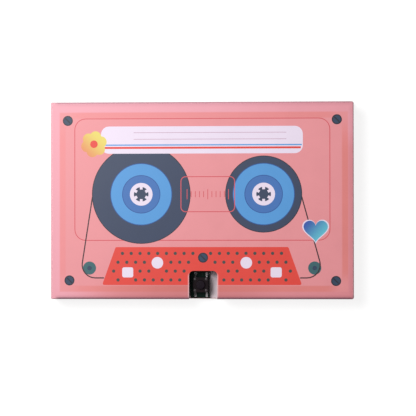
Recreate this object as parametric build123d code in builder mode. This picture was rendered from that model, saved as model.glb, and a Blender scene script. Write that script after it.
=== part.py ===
from build123d import *

# A recordable greeting card, built like a small hard-backed book with a sound module inside.
# It lies closed on its back cover. X runs across the front, away from the spine, Y runs up the
# front and Z comes out of it. The origin is the middle of the back face. Sizes are millimetres.
# The sound module belongs to the notch, so the names that end in _up say how far up from the
# card's lower edge its pieces lie.

import os
from math import radians, tan

os.makedirs("parts", exist_ok=True)

# Driving dimensions of the card
card_width = 120.0
card_height = 78.0
board_thickness = 1.5
wrap_thickness = 0.2
liner_thickness = 0.15
corner_radius = 0.8
front_margin = 2.5  # printed rim left bare round the white lining of the front cover
back_margin = 0.25  # the same on the back cover and the spine
crease_gap = 0.05  # between the edges of two sheets that meet at a crease
hinge_clearance = 0.1  # between the board ends and the sheet beside them
fold_clearance = 0.25  # between the spine board and the covers above and below it

# Driving dimensions of the finger notch
notch_width = 11.2
notch_depth = 11.2
notch_x = 0.5
notch_radius = 1.8

# Driving dimensions of the spacer rails and the inner panel
rail_height = 5.5
rail_width = 5.0
cover_overhang = 1.0
band_thickness = 0.2
spine_clearance = 0.3
panel_thickness = 0.5
panel_corner_radius = 1.0
cover_clearance = 0.3
panel_notch_margin = 0.2

# Driving dimensions of the circuit board
tape_thickness = 0.4
circuit_thickness = 1.0
circuit_width = 42.1
circuit_top_up = 33.0
circuit_shoulder_up = 7.2  # the lower edge, beside the tongue
tongue_end_up = 0.3
tongue_margin = 0.3  # of the tongue beyond the switch
tongue_reach = 4.15  # of the tongue to the left of the switch's middle

# Driving dimensions of the two push switches
play_x = -0.7
play_up = 5.6
record_x = -16.0
record_up = 13.6
switch_side = 6.0
switch_corner_radius = 0.3
switch_base_height = 3.2
plate_thickness = 0.3
switch_well_radius = 2.3
button_radius = 1.75
button_height = 0.8  # above the plate
button_edge_radius = 0.2
button_travel = 0.25
button_fit = 0.05  # radial, in the plate
flange_radius = 2.1
flange_thickness = 0.6
flange_clearance = 0.05  # under the plate
dome_radius = 2.1
dome_thickness = 0.1
dome_clearance = 0.05  # under the button
dome_floor_clearance = 0.3  # left under the top of the dome when the button is pressed
rivet_pitch = 4.5
rivet_radius = 0.35
rivet_fit = 0.05
rivet_head_radius = 0.6
rivet_head_height = 0.2
tab_width = 2.4
tab_length = 1.6
tab_thickness = 0.2
lead_pitch = 4.5
lead_width = 0.7
lead_thickness = 0.2
lead_height = 0.9  # where it leaves the base
lead_bend = 0.55  # from the base to the outside of the bend
lead_foot = 1.3  # from the base to the tip
solder_width = 0.9
solder_length = 0.45
solder_height = 0.22

# Driving dimensions of the small parts on the circuit board
chip_x = -6.0
chip_up = 15.4
chip_radius = 3.2
chip_height = 1.3
lamp_x = -24.4
lamp_up = 13.6
lamp_length = 2.0
lamp_width = 1.25
lamp_height = 0.8
lamp_lens_radius = 0.5
lamp_lens_height = 0.2
resistor_size = (1.6, 0.8, 0.45)
resistor_places = ((-11.6, 9.6), (-11.6, 11.4), (-20.9, 10.2), (-20.9, 16.8))  # across, up
capacitor_size = (2.0, 1.25, 1.0)
capacitor_places = ((0.6, 17.8), (0.6, 14.8), (-28.0, 10.1))  # across, up
microphone_x = -33.4
microphone_up = 13.6
microphone_radius = 3.0
microphone_height = 2.7
microphone_wall = 0.3
microphone_port_radius = 0.8
microphone_base_height = 0.6
felt_thickness = 0.2
felt_radius = 2.5

# Driving dimensions of the button cells and their holder
cell_count = 3
cell_pitch = 12.5
cell_radius = 5.8
cell_height = 3.05
cell_cap_radius = 4.7
cell_cap_height = 0.4
cell_edge_radius = 0.3
pocket_clearance = 0.15
holder_x = -19.3
holder_up = 26.2
holder_wall = 0.6
holder_floor = 0.4
holder_height = 3.6
spring_length = 7.0
spring_width = 2.6
spring_thickness = 0.15
clip_width = 3.0
clip_thickness = 0.2

# Driving dimensions of the loudspeaker
speaker_up = 37.0
speaker_radius = 20.0
speaker_margin = 2.6  # from its rim to the right-hand rail
gasket_thickness = 0.3
diaphragm_thickness = 0.15
flange_width = 2.6
basket_thickness = 0.5
yoke_radius = 8.4
yoke_wall = 0.4
yoke_shoulder = 2.25  # from the underside of the flange down to the yoke's rim
basket_depth = 4.1  # from the underside of the flange down to the back of the yoke
vent_count = 6
vent_radius = 2.0
vent_ring_radius = 13.0
magnet_radius = 7.0
magnet_height = 1.3
pole_radius = 7.2
pole_height = 0.6
coil_inner_radius = 7.45
coil_wall = 0.4
coil_height = 1.7
dome_rise = 0.8
diaphragm_drop = 1.1
terminal_length = 7.0
terminal_width = 2.6
terminal_thickness = 0.8
sound_hole_radius = 1.0
sound_hole_rings = 3
sound_hole_spacing = 3.6

# Driving dimensions of the holes in the inner panel
record_hole_radius = 4.5
lamp_hole_radius = 1.25
microphone_hole_radius = 1.0

# Driving dimensions of the speaker's two wires
wire_radius = 0.4
wire_pad_x = 1.2
wire_pads_up = (28.0, 31.5)
wire_terminal_offset = 2.0
wire_radius_share = 0.45  # of the shorter run beside a corner
wire_joint_size = (0.7, 1.2, 0.8)

# Points along each wire, as shares of its length, its sideways climb and its rise
wire_points = (
    (0.0, 0.0, 0.0),
    (0.25, 0.0, 0.0),
    (0.45, 0.3, 0.25),
    (0.62, 0.78, 0.75),
    (0.8, 1.0, 1.0),
    (1.0, 1.0, 1.0),
)

# Heights of the layers, from the table up
back_board_base = wrap_thickness
back_liner_base = back_board_base + board_thickness
floor_height = back_liner_base + liner_thickness
panel_base = floor_height + rail_height
panel_top = panel_base + panel_thickness
cover_base = panel_top + cover_clearance
cover_board_base = cover_base + liner_thickness
cover_wrap_base = cover_board_base + board_thickness
card_thickness = cover_wrap_base + wrap_thickness
spine_bottom = floor_height + fold_clearance
spine_top = cover_base - fold_clearance
circuit_base = floor_height + tape_thickness
circuit_face = circuit_base + circuit_thickness

# Edges of the card, the notch, the tray and the circuit board
half_width = card_width / 2
half_height = card_height / 2
crease_x = -half_width
board_left = crease_x + wrap_thickness + hinge_clearance
spine_inner = crease_x + wrap_thickness + board_thickness
tray_left = spine_inner + liner_thickness + spine_clearance
tray_right = half_width - cover_overhang - band_thickness
tray_top = half_height - cover_overhang - band_thickness
notch_left = notch_x - notch_width / 2
notch_right = notch_x + notch_width / 2
notch_top = notch_depth - half_height
circuit_top = circuit_top_up - half_height
circuit_shoulder = circuit_shoulder_up - half_height
tongue_end = tongue_end_up - half_height
circuit_right = play_x + switch_side / 2 + tongue_margin
circuit_left = circuit_right - circuit_width
tongue_left = play_x - tongue_reach
speaker_x = tray_right - rail_width - speaker_margin - speaker_radius
play_y = play_up - half_height
record_y = record_up - half_height
chip_y = chip_up - half_height
lamp_y = lamp_up - half_height
microphone_y = microphone_up - half_height
holder_y = holder_up - half_height
speaker_y = speaker_up - half_height


def save(piece, label):
    """Labels a finished piece and writes it to its own file."""
    piece.part.label = label
    export_step(piece.part, f"parts/{label}.step")


def cover_profile(left, inset):
    """A cover's outline, square at the crease and rounded at its free corners."""
    right = half_width - inset
    top = half_height - inset
    with BuildSketch() as profile:
        with Locations(((left + right) / 2, 0)):
            Rectangle(right - left, 2 * top)
        fillet(profile.vertices().group_by(Axis.X)[-1], corner_radius - inset)
    return profile.sketch


def lining_profile(margin):
    """The white lining of a cover, with a printed rim left bare on the three free sides."""
    right = half_width - margin
    with BuildSketch() as profile:
        with Locations(((board_left + right) / 2, 0)):
            Rectangle(right - board_left, 2 * (half_height - margin))
    return profile.sketch


def notch_profile(margin):
    """The finger notch, open at the lower edge and rounded at its two upper corners."""
    width = notch_width + 2 * margin
    top = notch_top + margin
    bottom = -half_height - board_thickness
    with BuildSketch() as profile:
        with Locations((notch_x, (top + bottom) / 2)):
            Rectangle(width, top - bottom)
        fillet(profile.vertices().group_by(Axis.Y)[-1], notch_radius + margin)
    return profile.sketch


def crease_profile(outer, inward):
    """What is cleared from a cover beside its crease, so that only a mitred lip reaches it."""
    beside = crease_x - board_thickness
    lip = crease_x + crease_gap
    inner = outer + inward * wrap_thickness
    beyond = outer - inward * board_thickness
    deep = outer + inward * 2 * board_thickness
    with BuildSketch() as profile:
        Polygon(
            (beside, beyond),
            (lip, beyond),
            (lip, outer),
            (lip + wrap_thickness, inner),
            (board_left, inner),
            (board_left, deep),
            (beside, deep),
            align=None,
        )
    return profile.sketch


def route(points):
    """A wire's path with an arc as large as its runs allow at each corner."""
    corners = [Vector(*point) for point in points]
    radii = []
    for before, corner, after in zip(corners, corners[1:], corners[2:]):
        arriving = corner - before
        leaving = after - corner
        half_turn = radians(arriving.get_angle(leaving)) / 2
        shorter = min(arriving.length, leaving.length)
        radii.append(wire_radius_share * shorter / tan(half_turn))
    print("wire radii", [round(radius, 1) for radius in radii])
    return FilletPolyline(*corners, radius=radii)


# Back cover: printed paper wrapped round a grey board, with a white lining inside
with BuildPart() as back_board:
    with BuildSketch(Plane.XY.offset(back_board_base)):
        add(cover_profile(board_left, wrap_thickness))
    extrude(amount=board_thickness)
save(back_board, "back_board")

with BuildPart() as back_wrap:
    with BuildSketch():
        add(cover_profile(crease_x, 0))
    extrude(amount=floor_height)
    with BuildSketch(Plane.XY.offset(back_board_base)):
        add(cover_profile(board_left, wrap_thickness))
    extrude(amount=board_thickness, mode=Mode.SUBTRACT)
    with BuildSketch(Plane.XY.offset(back_liner_base)):
        add(lining_profile(back_margin))
    extrude(amount=liner_thickness, mode=Mode.SUBTRACT)
    with BuildSketch(Plane.XZ):
        add(crease_profile(0, 1))
    extrude(amount=card_height, both=True, mode=Mode.SUBTRACT)
save(back_wrap, "back_wrap")

with BuildPart() as back_liner:
    with BuildSketch(Plane.XY.offset(back_liner_base)):
        add(lining_profile(back_margin))
    extrude(amount=liner_thickness)
save(back_liner, "back_liner")

# Front cover: the same three layers the other way up, die-cut with the finger notch
with BuildPart() as front_board:
    with BuildSketch(Plane.XY.offset(cover_board_base)):
        add(cover_profile(board_left, wrap_thickness))
        add(notch_profile(0), mode=Mode.SUBTRACT)
    extrude(amount=board_thickness)
save(front_board, "front_board")

with BuildPart() as front_wrap:
    with BuildSketch(Plane.XY.offset(cover_base)):
        add(cover_profile(crease_x, 0))
        add(notch_profile(0), mode=Mode.SUBTRACT)
    extrude(amount=card_thickness - cover_base)
    with BuildSketch(Plane.XY.offset(cover_board_base)):
        add(cover_profile(board_left, wrap_thickness))
    extrude(amount=board_thickness, mode=Mode.SUBTRACT)
    with BuildSketch(Plane.XY.offset(cover_base)):
        add(lining_profile(front_margin))
    extrude(amount=liner_thickness, mode=Mode.SUBTRACT)
    with BuildSketch(Plane.XZ):
        add(crease_profile(card_thickness, -1))
    extrude(amount=card_height, both=True, mode=Mode.SUBTRACT)
save(front_wrap, "front_wrap")

with BuildPart() as front_liner:
    with BuildSketch(Plane.XY.offset(cover_base)):
        add(lining_profile(front_margin))
        add(notch_profile(0), mode=Mode.SUBTRACT)
    extrude(amount=liner_thickness)
save(front_liner, "front_liner")

# Spine: a narrow board between the covers, with the printed sheet over its outer face and ends
with BuildPart() as spine_board:
    with BuildSketch(Plane.XY.offset(spine_bottom)):
        with Locations((crease_x + wrap_thickness, 0)):
            Rectangle(
                board_thickness,
                card_height - 2 * wrap_thickness,
                align=(Align.MIN, Align.CENTER),
            )
    extrude(amount=spine_top - spine_bottom)
save(spine_board, "spine_board")

with BuildPart() as spine_wrap:
    with BuildSketch(Plane.XZ):
        Polygon(
            (crease_x, crease_gap),
            (crease_x + wrap_thickness, crease_gap + wrap_thickness),
            (crease_x + wrap_thickness, card_thickness - crease_gap - wrap_thickness),
            (crease_x, card_thickness - crease_gap),
            align=None,
        )
    extrude(amount=half_height, both=True)
    with BuildSketch(Plane.XY.offset(spine_bottom)):
        end_middle = half_height - wrap_thickness / 2
        with Locations((crease_x, end_middle), (crease_x, -end_middle)):
            Rectangle(
                spine_inner - crease_x, wrap_thickness, align=(Align.MIN, Align.CENTER)
            )
    extrude(amount=spine_top - spine_bottom)
save(spine_wrap, "spine_wrap")

with BuildPart() as spine_liner:
    with BuildSketch(Plane.XY.offset(spine_bottom)):
        with Locations((spine_inner, 0)):
            Rectangle(
                liner_thickness,
                2 * (half_height - back_margin),
                align=(Align.MIN, Align.CENTER),
            )
    extrude(amount=spine_top - spine_bottom)
save(spine_liner, "spine_liner")

# Spacer rails that hold the inner panel above the sound module
inner_left = tray_left + rail_width
inner_right = tray_right - rail_width
inner_top = tray_top - rail_width
rails = {
    "rail_left": (tray_left, inner_left, -tray_top, tray_top),
    "rail_right": (inner_right, tray_right, -tray_top, tray_top),
    "rail_top": (inner_left, inner_right, inner_top, tray_top),
    "rail_bottom_left": (inner_left, notch_left, -tray_top, -inner_top),
    "rail_bottom_right": (notch_right, inner_right, -tray_top, -inner_top),
}
for rail_name, (rail_from_x, rail_to_x, rail_from_y, rail_to_y) in rails.items():
    with BuildPart() as rail:
        with BuildSketch(Plane.XY.offset(floor_height)):
            with Locations((rail_from_x, rail_from_y)):
                Rectangle(
                    rail_to_x - rail_from_x,
                    rail_to_y - rail_from_y,
                    align=(Align.MIN, Align.MIN),
                )
        extrude(amount=rail_height)
    save(rail, rail_name)

# Paper band round the three open sides of the tray, cut away at the notch
band_right = tray_right + band_thickness
band_top = tray_top + band_thickness
with BuildPart() as side_band:
    with BuildSketch(Plane.XY.offset(floor_height)):
        with Locations((tray_left, 0)):
            Rectangle(
                band_right - tray_left, 2 * band_top, align=(Align.MIN, Align.CENTER)
            )
            Rectangle(
                tray_right - tray_left,
                2 * tray_top,
                align=(Align.MIN, Align.CENTER),
                mode=Mode.SUBTRACT,
            )
        add(notch_profile(0), mode=Mode.SUBTRACT)
    extrude(amount=rail_height)
save(side_band, "side_band")

# Inner panel over the rails, with the sound holes and the holes above the module
with BuildPart() as inner_panel:
    with BuildSketch(Plane.XY.offset(panel_base)) as panel_outline:
        with Locations((tray_left, 0)):
            Rectangle(
                band_right - tray_left, 2 * band_top, align=(Align.MIN, Align.CENTER)
            )
        fillet(panel_outline.vertices(), panel_corner_radius)
        add(notch_profile(panel_notch_margin), mode=Mode.SUBTRACT)
        with Locations((record_x, record_y)):
            Circle(record_hole_radius, mode=Mode.SUBTRACT)
        with Locations((lamp_x, lamp_y)):
            Circle(lamp_hole_radius, mode=Mode.SUBTRACT)
        with Locations((microphone_x, microphone_y)):
            Circle(microphone_hole_radius, mode=Mode.SUBTRACT)
        with Locations((speaker_x, speaker_y)):
            Circle(sound_hole_radius, mode=Mode.SUBTRACT)
            for ring in range(1, sound_hole_rings):
                with PolarLocations(ring * sound_hole_spacing, 6 * ring):
                    Circle(sound_hole_radius, mode=Mode.SUBTRACT)
    extrude(amount=panel_thickness)
save(inner_panel, "inner_panel")

# Circuit board: a wide part under the panel and a narrow tongue in the notch
with BuildPart() as circuit_board:
    with BuildSketch(Plane.XY.offset(circuit_base)):
        Polygon(
            (circuit_right, tongue_end),
            (circuit_right, circuit_top),
            (circuit_left, circuit_top),
            (circuit_left, circuit_shoulder),
            (tongue_left, circuit_shoulder),
            (tongue_left, tongue_end),
            align=None,
        )
    extrude(amount=circuit_thickness)
save(circuit_board, "circuit_board")

tape_length = circuit_width / 2
tape_width = (circuit_top - circuit_shoulder) / 4
with BuildPart() as board_tape:
    with BuildSketch(Plane.XY.offset(floor_height)):
        with Locations(((circuit_left + circuit_right) / 2, (circuit_top + circuit_shoulder) / 2)):
            with GridLocations(0, 2 * tape_width, 1, 2):
                Rectangle(tape_length, tape_width)
    extrude(amount=tape_thickness)
save(board_tape, "board_tape")

# Push switches, the same one twice: the play switch in the notch and the record switch inside
plate_base = circuit_face + switch_base_height
plate_top = plate_base + plate_thickness
flange_top = plate_base - flange_clearance
flange_bottom = flange_top - flange_thickness
dome_top = flange_bottom - dome_clearance
well_floor = dome_top - button_travel - dome_floor_clearance
for use, switch_x, switch_y in (
    ("play", play_x, play_y),
    ("record", record_x, record_y),
):
    switch_floor = Plane((switch_x, switch_y, circuit_face))
    lead_rows = [
        (switch_x - lead_pitch / 2, switch_y, circuit_face),
        (switch_x + lead_pitch / 2, switch_y, circuit_face),
    ]

    # The base has a well for the dome, and four rivets that hold the plate down
    with BuildPart() as switch_base:
        with BuildSketch(switch_floor):
            RectangleRounded(switch_side, switch_side, switch_corner_radius)
        extrude(amount=switch_base_height)
        with BuildSketch(switch_floor.offset(well_floor - circuit_face)):
            Circle(switch_well_radius)
        extrude(amount=plate_base - well_floor, mode=Mode.SUBTRACT)
        with BuildSketch(switch_floor.offset(switch_base_height)):
            with GridLocations(rivet_pitch, rivet_pitch, 2, 2):
                Circle(rivet_radius)
        extrude(amount=plate_thickness)
        with BuildSketch(switch_floor.offset(switch_base_height + plate_thickness)):
            with GridLocations(rivet_pitch, rivet_pitch, 2, 2):
                Circle(rivet_head_radius)
        extrude(amount=rivet_head_height)
        head_edges = switch_base.edges().filter_by(GeomType.CIRCLE).group_by(Axis.Z)[-1]
        fillet(head_edges, rivet_head_height / 2)
    save(switch_base, f"{use}_switch_base")

    # The metal plate closes the well and guides the button
    with BuildPart() as switch_plate:
        with BuildSketch(switch_floor.offset(switch_base_height)):
            RectangleRounded(switch_side, switch_side, switch_corner_radius)
            Circle(button_radius + button_fit, mode=Mode.SUBTRACT)
            with GridLocations(rivet_pitch, rivet_pitch, 2, 2):
                Circle(rivet_radius + rivet_fit, mode=Mode.SUBTRACT)
        extrude(amount=plate_thickness)
        with BuildSketch(switch_floor.offset(switch_base_height + plate_thickness)):
            with GridLocations(switch_side + tab_thickness, 0, 2, 1):
                Rectangle(tab_thickness, tab_width)
        extrude(amount=-tab_length)
    save(switch_plate, f"{use}_switch_plate")

    # The button has a flange under the plate that keeps it in
    with BuildPart() as button:
        with BuildSketch(switch_floor.offset(flange_bottom - circuit_face)):
            Circle(flange_radius)
        extrude(amount=flange_thickness)
        with BuildSketch(switch_floor.offset(flange_bottom - circuit_face)):
            Circle(button_radius)
        extrude(amount=plate_top + button_height - flange_bottom)
        fillet(button.edges().group_by(Axis.Z)[-1], button_edge_radius)
    save(button, f"{use}_button")

    # The contact dome is a thin spherical cap that stands on the floor of the well
    with BuildPart() as switch_dome:
        rise = dome_top - well_floor
        with BuildSketch(Plane((switch_x, switch_y, well_floor), x_dir=(1, 0, 0), z_dir=(0, -1, 0))):
            with BuildLine():
                inner_rise = rise - dome_thickness
                inner_radius = dome_radius - dome_thickness
                inner_ball = (inner_radius**2 + inner_rise**2) / (2 * inner_rise)
                outer_ball = (dome_radius**2 + rise**2) / (2 * rise)
                RadiusArc((0, rise), (dome_radius, 0), outer_ball)
                Line((dome_radius, 0), (inner_radius, 0))
                RadiusArc((inner_radius, 0), (0, inner_rise), -inner_ball)
                Line((0, inner_rise), (0, rise))
            make_face()
        revolve(axis=Axis((switch_x, switch_y, 0), (0, 0, 1)))
    save(switch_dome, f"{use}_switch_dome")

    # Four bent leads, in two rows, stand on the circuit board
    with BuildPart() as switch_leads:
        for row in lead_rows:
            for way in (1, -1):
                side = way * switch_side / 2
                with BuildSketch(Plane(row, x_dir=(0, 1, 0), z_dir=(1, 0, 0))):
                    Polygon(
                        (side, lead_height),
                        (side + way * lead_bend, lead_height),
                        (side + way * lead_bend, lead_thickness),
                        (side + way * lead_foot, lead_thickness),
                        (side + way * lead_foot, 0),
                        (side + way * (lead_bend - lead_thickness), 0),
                        (side + way * (lead_bend - lead_thickness), lead_height - lead_thickness),
                        (side, lead_height - lead_thickness),
                        align=None,
                    )
                extrude(amount=lead_width / 2, both=True)
    save(switch_leads, f"{use}_switch_leads")

    # A wedge of solder holds the tip of each lead
    with BuildPart() as switch_solder:
        for row in lead_rows:
            for way in (1, -1):
                tip = way * (switch_side / 2 + lead_foot)
                with BuildSketch(Plane(row, x_dir=(0, 1, 0), z_dir=(1, 0, 0))):
                    Polygon(
                        (tip, 0),
                        (tip + way * solder_length, 0),
                        (tip, solder_height),
                        align=None,
                    )
                extrude(amount=solder_width / 2, both=True)
    save(switch_solder, f"{use}_switch_solder")

# Voice chip, sealed under a drop of black resin
with BuildPart() as voice_chip:
    with BuildSketch(Plane((chip_x, chip_y, circuit_face), x_dir=(1, 0, 0), z_dir=(0, -1, 0))):
        with BuildLine():
            Line((0, 0), (chip_radius, 0))
            RadiusArc(
                (chip_radius, 0),
                (0, chip_height),
                -(chip_radius**2 + chip_height**2) / (2 * chip_height),
            )
            Line((0, chip_height), (0, 0))
        make_face()
    revolve(axis=Axis((chip_x, chip_y, 0), (0, 0, 1)))
save(voice_chip, "voice_chip")

# Small surface-mounted parts
for group_name, size, places in (
    ("resistors", resistor_size, resistor_places),
    ("capacitors", capacitor_size, capacitor_places),
):
    with BuildPart() as chips:
        with Locations(*[(x, up - half_height, circuit_face) for x, up in places]):
            Box(*size, align=(Align.CENTER, Align.CENTER, Align.MIN))
    save(chips, group_name)

with BuildPart() as record_lamp:
    with Locations((lamp_x, lamp_y, circuit_face)):
        Box(
            lamp_length,
            lamp_width,
            lamp_height,
            align=(Align.CENTER, Align.CENTER, Align.MIN),
        )
    with Locations((lamp_x, lamp_y, circuit_face + lamp_height)):
        Cylinder(
            lamp_lens_radius,
            lamp_lens_height,
            align=(Align.CENTER, Align.CENTER, Align.MIN),
        )
save(record_lamp, "record_lamp")

# Microphone: a drawn can with a port in its top, a base disc in its mouth and a felt on the port
microphone_floor = Plane((microphone_x, microphone_y, circuit_face))
with BuildPart() as microphone_can:
    with BuildSketch(microphone_floor):
        Circle(microphone_radius)
    extrude(amount=microphone_height)
    with BuildSketch(microphone_floor):
        Circle(microphone_radius - microphone_wall)
    extrude(amount=microphone_height - microphone_wall, mode=Mode.SUBTRACT)
    with BuildSketch(microphone_floor):
        Circle(microphone_port_radius)
    extrude(amount=microphone_height, mode=Mode.SUBTRACT)
save(microphone_can, "microphone_can")

with BuildPart() as microphone_base:
    with BuildSketch(microphone_floor):
        Circle(microphone_radius - microphone_wall)
    extrude(amount=microphone_base_height)
save(microphone_base, "microphone_base")

with BuildPart() as microphone_felt:
    with BuildSketch(microphone_floor.offset(microphone_height)):
        Circle(felt_radius)
    extrude(amount=felt_thickness)
save(microphone_felt, "microphone_felt")

# Holder for the button cells: a floor, a pocket for each cell, a spring below and a clip above
holder_length = (cell_count - 1) * cell_pitch + 2 * (cell_radius + pocket_clearance + holder_wall)
holder_width = 2 * (cell_radius + pocket_clearance + holder_wall)
holder_bottom = Plane((holder_x, holder_y, circuit_face))
cell_base = circuit_face + holder_floor + spring_thickness
cell_top = cell_base + cell_height
with BuildPart() as battery_holder:
    with BuildSketch(holder_bottom):
        Rectangle(holder_length, holder_width)
    extrude(amount=holder_height)
    with BuildSketch(holder_bottom.offset(holder_floor)):
        with GridLocations(cell_pitch, 0, cell_count, 1):
            Circle(cell_radius + pocket_clearance)
    extrude(amount=holder_height, mode=Mode.SUBTRACT)
save(battery_holder, "battery_holder")

with BuildPart() as cell_springs:
    with BuildSketch(holder_bottom.offset(holder_floor)):
        with GridLocations(cell_pitch, 0, cell_count, 1):
            Rectangle(spring_length, spring_width)
    extrude(amount=spring_thickness)
save(cell_springs, "cell_springs")

with BuildPart() as cell_clips:
    with BuildSketch(holder_bottom.offset(cell_top - circuit_face)):
        with GridLocations(cell_pitch, 0, cell_count, 1):
            Rectangle(clip_width, holder_width)
    extrude(amount=clip_thickness)
save(cell_clips, "cell_clips")

for number in range(cell_count):
    cell_x = holder_x + (number - (cell_count - 1) / 2) * cell_pitch
    with BuildPart() as button_cell:
        with BuildSketch(Plane((cell_x, holder_y, cell_base))):
            Circle(cell_cap_radius)
        extrude(amount=cell_cap_height)
        with BuildSketch(Plane((cell_x, holder_y, cell_base + cell_cap_height))):
            Circle(cell_radius)
        extrude(amount=cell_height - cell_cap_height)
        fillet(button_cell.edges().group_by(Axis.Z)[-1], cell_edge_radius)
    save(button_cell, f"button_cell_{number + 1}")

# Loudspeaker, glued by its gasket to the underside of the inner panel. Each of its round pieces is
# a section turned about its axis, with the radius first and the height second.
speaker_section = Plane((speaker_x, speaker_y, 0), x_dir=(1, 0, 0), z_dir=(0, -1, 0))
speaker_axis = Axis((speaker_x, speaker_y, 0), (0, 0, 1))
diaphragm_top = panel_base - gasket_thickness
rim_top = diaphragm_top - diaphragm_thickness
rim_bottom = rim_top - basket_thickness
rim_inner = speaker_radius - flange_width
yoke_rim = rim_bottom - yoke_shoulder
yoke_back = rim_bottom - basket_depth
yoke_outer = yoke_radius + yoke_wall
magnet_base = yoke_back + basket_thickness
pole_base = magnet_base + magnet_height
coil_top = diaphragm_top - diaphragm_drop
coil_outer = coil_inner_radius + coil_wall

with BuildPart() as speaker_gasket:
    with BuildSketch(Plane((speaker_x, speaker_y, diaphragm_top))):
        Circle(speaker_radius)
        Circle(rim_inner, mode=Mode.SUBTRACT)
    extrude(amount=gasket_thickness)
save(speaker_gasket, "speaker_gasket")

with BuildPart() as speaker_basket:
    with BuildSketch(speaker_section):
        Polygon(
            (speaker_radius, rim_top),
            (speaker_radius, rim_bottom),
            (rim_inner, rim_bottom),
            (yoke_outer, yoke_rim),
            (yoke_outer, yoke_back),
            (0, yoke_back),
            (0, magnet_base),
            (yoke_radius, magnet_base),
            (yoke_radius, yoke_rim + basket_thickness),
            (rim_inner, rim_top),
            align=None,
        )
    revolve(axis=speaker_axis)
    with BuildSketch(Plane((speaker_x, speaker_y, yoke_back))):
        with PolarLocations(vent_ring_radius, vent_count):
            Circle(vent_radius)
    extrude(amount=basket_depth, mode=Mode.SUBTRACT)
save(speaker_basket, "speaker_basket")

for disc_name, disc_radius, disc_base, disc_height in (
    ("speaker_magnet", magnet_radius, magnet_base, magnet_height),
    ("speaker_pole_plate", pole_radius, pole_base, pole_height),
):
    with BuildPart() as disc:
        with BuildSketch(Plane((speaker_x, speaker_y, disc_base))):
            Circle(disc_radius)
        extrude(amount=disc_height)
    save(disc, disc_name)

with BuildPart() as speaker_coil:
    with BuildSketch(Plane((speaker_x, speaker_y, coil_top - coil_height))):
        Circle(coil_outer)
        Circle(coil_inner_radius, mode=Mode.SUBTRACT)
    extrude(amount=coil_height)
save(speaker_coil, "speaker_coil")

with BuildPart() as speaker_diaphragm:
    with BuildSketch(speaker_section):
        Polygon(
            (speaker_radius, rim_top),
            (speaker_radius, diaphragm_top),
            (rim_inner, diaphragm_top),
            (coil_outer, coil_top + diaphragm_thickness),
            (coil_inner_radius, coil_top + diaphragm_thickness),
            (coil_inner_radius / 2, coil_top + dome_rise * 3 / 4 + diaphragm_thickness),
            (0, coil_top + dome_rise + diaphragm_thickness),
            (0, coil_top + dome_rise),
            (coil_inner_radius / 2, coil_top + dome_rise * 3 / 4),
            (coil_inner_radius, coil_top),
            (coil_outer, coil_top),
            (rim_inner, rim_top),
            align=None,
        )
    revolve(axis=speaker_axis)
save(speaker_diaphragm, "speaker_diaphragm")

# The terminal board is glued under the rim, on the side that faces the circuit board
terminal_x = speaker_x - speaker_radius + terminal_width / 2
with BuildPart() as speaker_terminals:
    with Locations((terminal_x, speaker_y, rim_bottom)):
        Box(
            terminal_width,
            terminal_length,
            terminal_thickness,
            align=(Align.CENTER, Align.CENTER, Align.MAX),
        )
save(speaker_terminals, "speaker_terminals")

# The speaker's wires run from the circuit board to the underside of the terminal board
wire_start_z = circuit_face + wire_radius
wire_end_z = rim_bottom - terminal_thickness - wire_radius
wire_ends = (
    ("speaker_wire_red", wire_pads_up[0] - half_height, speaker_y - wire_terminal_offset),
    ("speaker_wire_black", wire_pads_up[1] - half_height, speaker_y + wire_terminal_offset),
)
for wire_name, pad_y, end_y in wire_ends:
    corners = [
        (
            wire_pad_x + along * (terminal_x - wire_pad_x),
            pad_y + sideways * (end_y - pad_y),
            wire_start_z + upward * (wire_end_z - wire_start_z),
        )
        for along, sideways, upward in wire_points
    ]
    with BuildPart() as wire:
        with BuildLine() as wire_path:
            route(corners)
        with BuildSketch(wire_path.line ^ 0):
            Circle(wire_radius)
        sweep()
    print(wire_name, "length", round(wire_path.wire().length, 1))
    save(wire, wire_name)

# Each end of a wire is held by a block of solder
with BuildPart() as wire_joints:
    for wire_name, pad_y, end_y in wire_ends:
        with Locations((wire_pad_x, pad_y, circuit_face)):
            Box(*wire_joint_size, align=(Align.MAX, Align.CENTER, Align.MIN))
        with Locations((terminal_x, end_y, rim_bottom - terminal_thickness)):
            Box(*wire_joint_size, align=(Align.MIN, Align.CENTER, Align.MAX))
save(wire_joints, "wire_joints")
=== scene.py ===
# %% [markdown]
# A recordable greeting card lies closed on a white table, seen from straight above. It is built like
# a small hard-backed book: printed paper wrapped round two boards and a spine, a tray with a sound
# module between them, and a notch in the lower edge where a push switch shows.
#
# The pieces that carry, fit and move are already modelled as solids and come in as a fixed frame.
# This lesson dresses them: it cuts the printed sheet along its inks, folds paper round the boards,
# rounds the small metal and plastic parts, and gives every piece a finish made of nodes.

# %% Load the frame
import math
from functools import partial, reduce

import bmesh
import bpy
import numpy as np
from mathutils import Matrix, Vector
from mathutils.geometry import delaunay_2d_cdt


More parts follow.
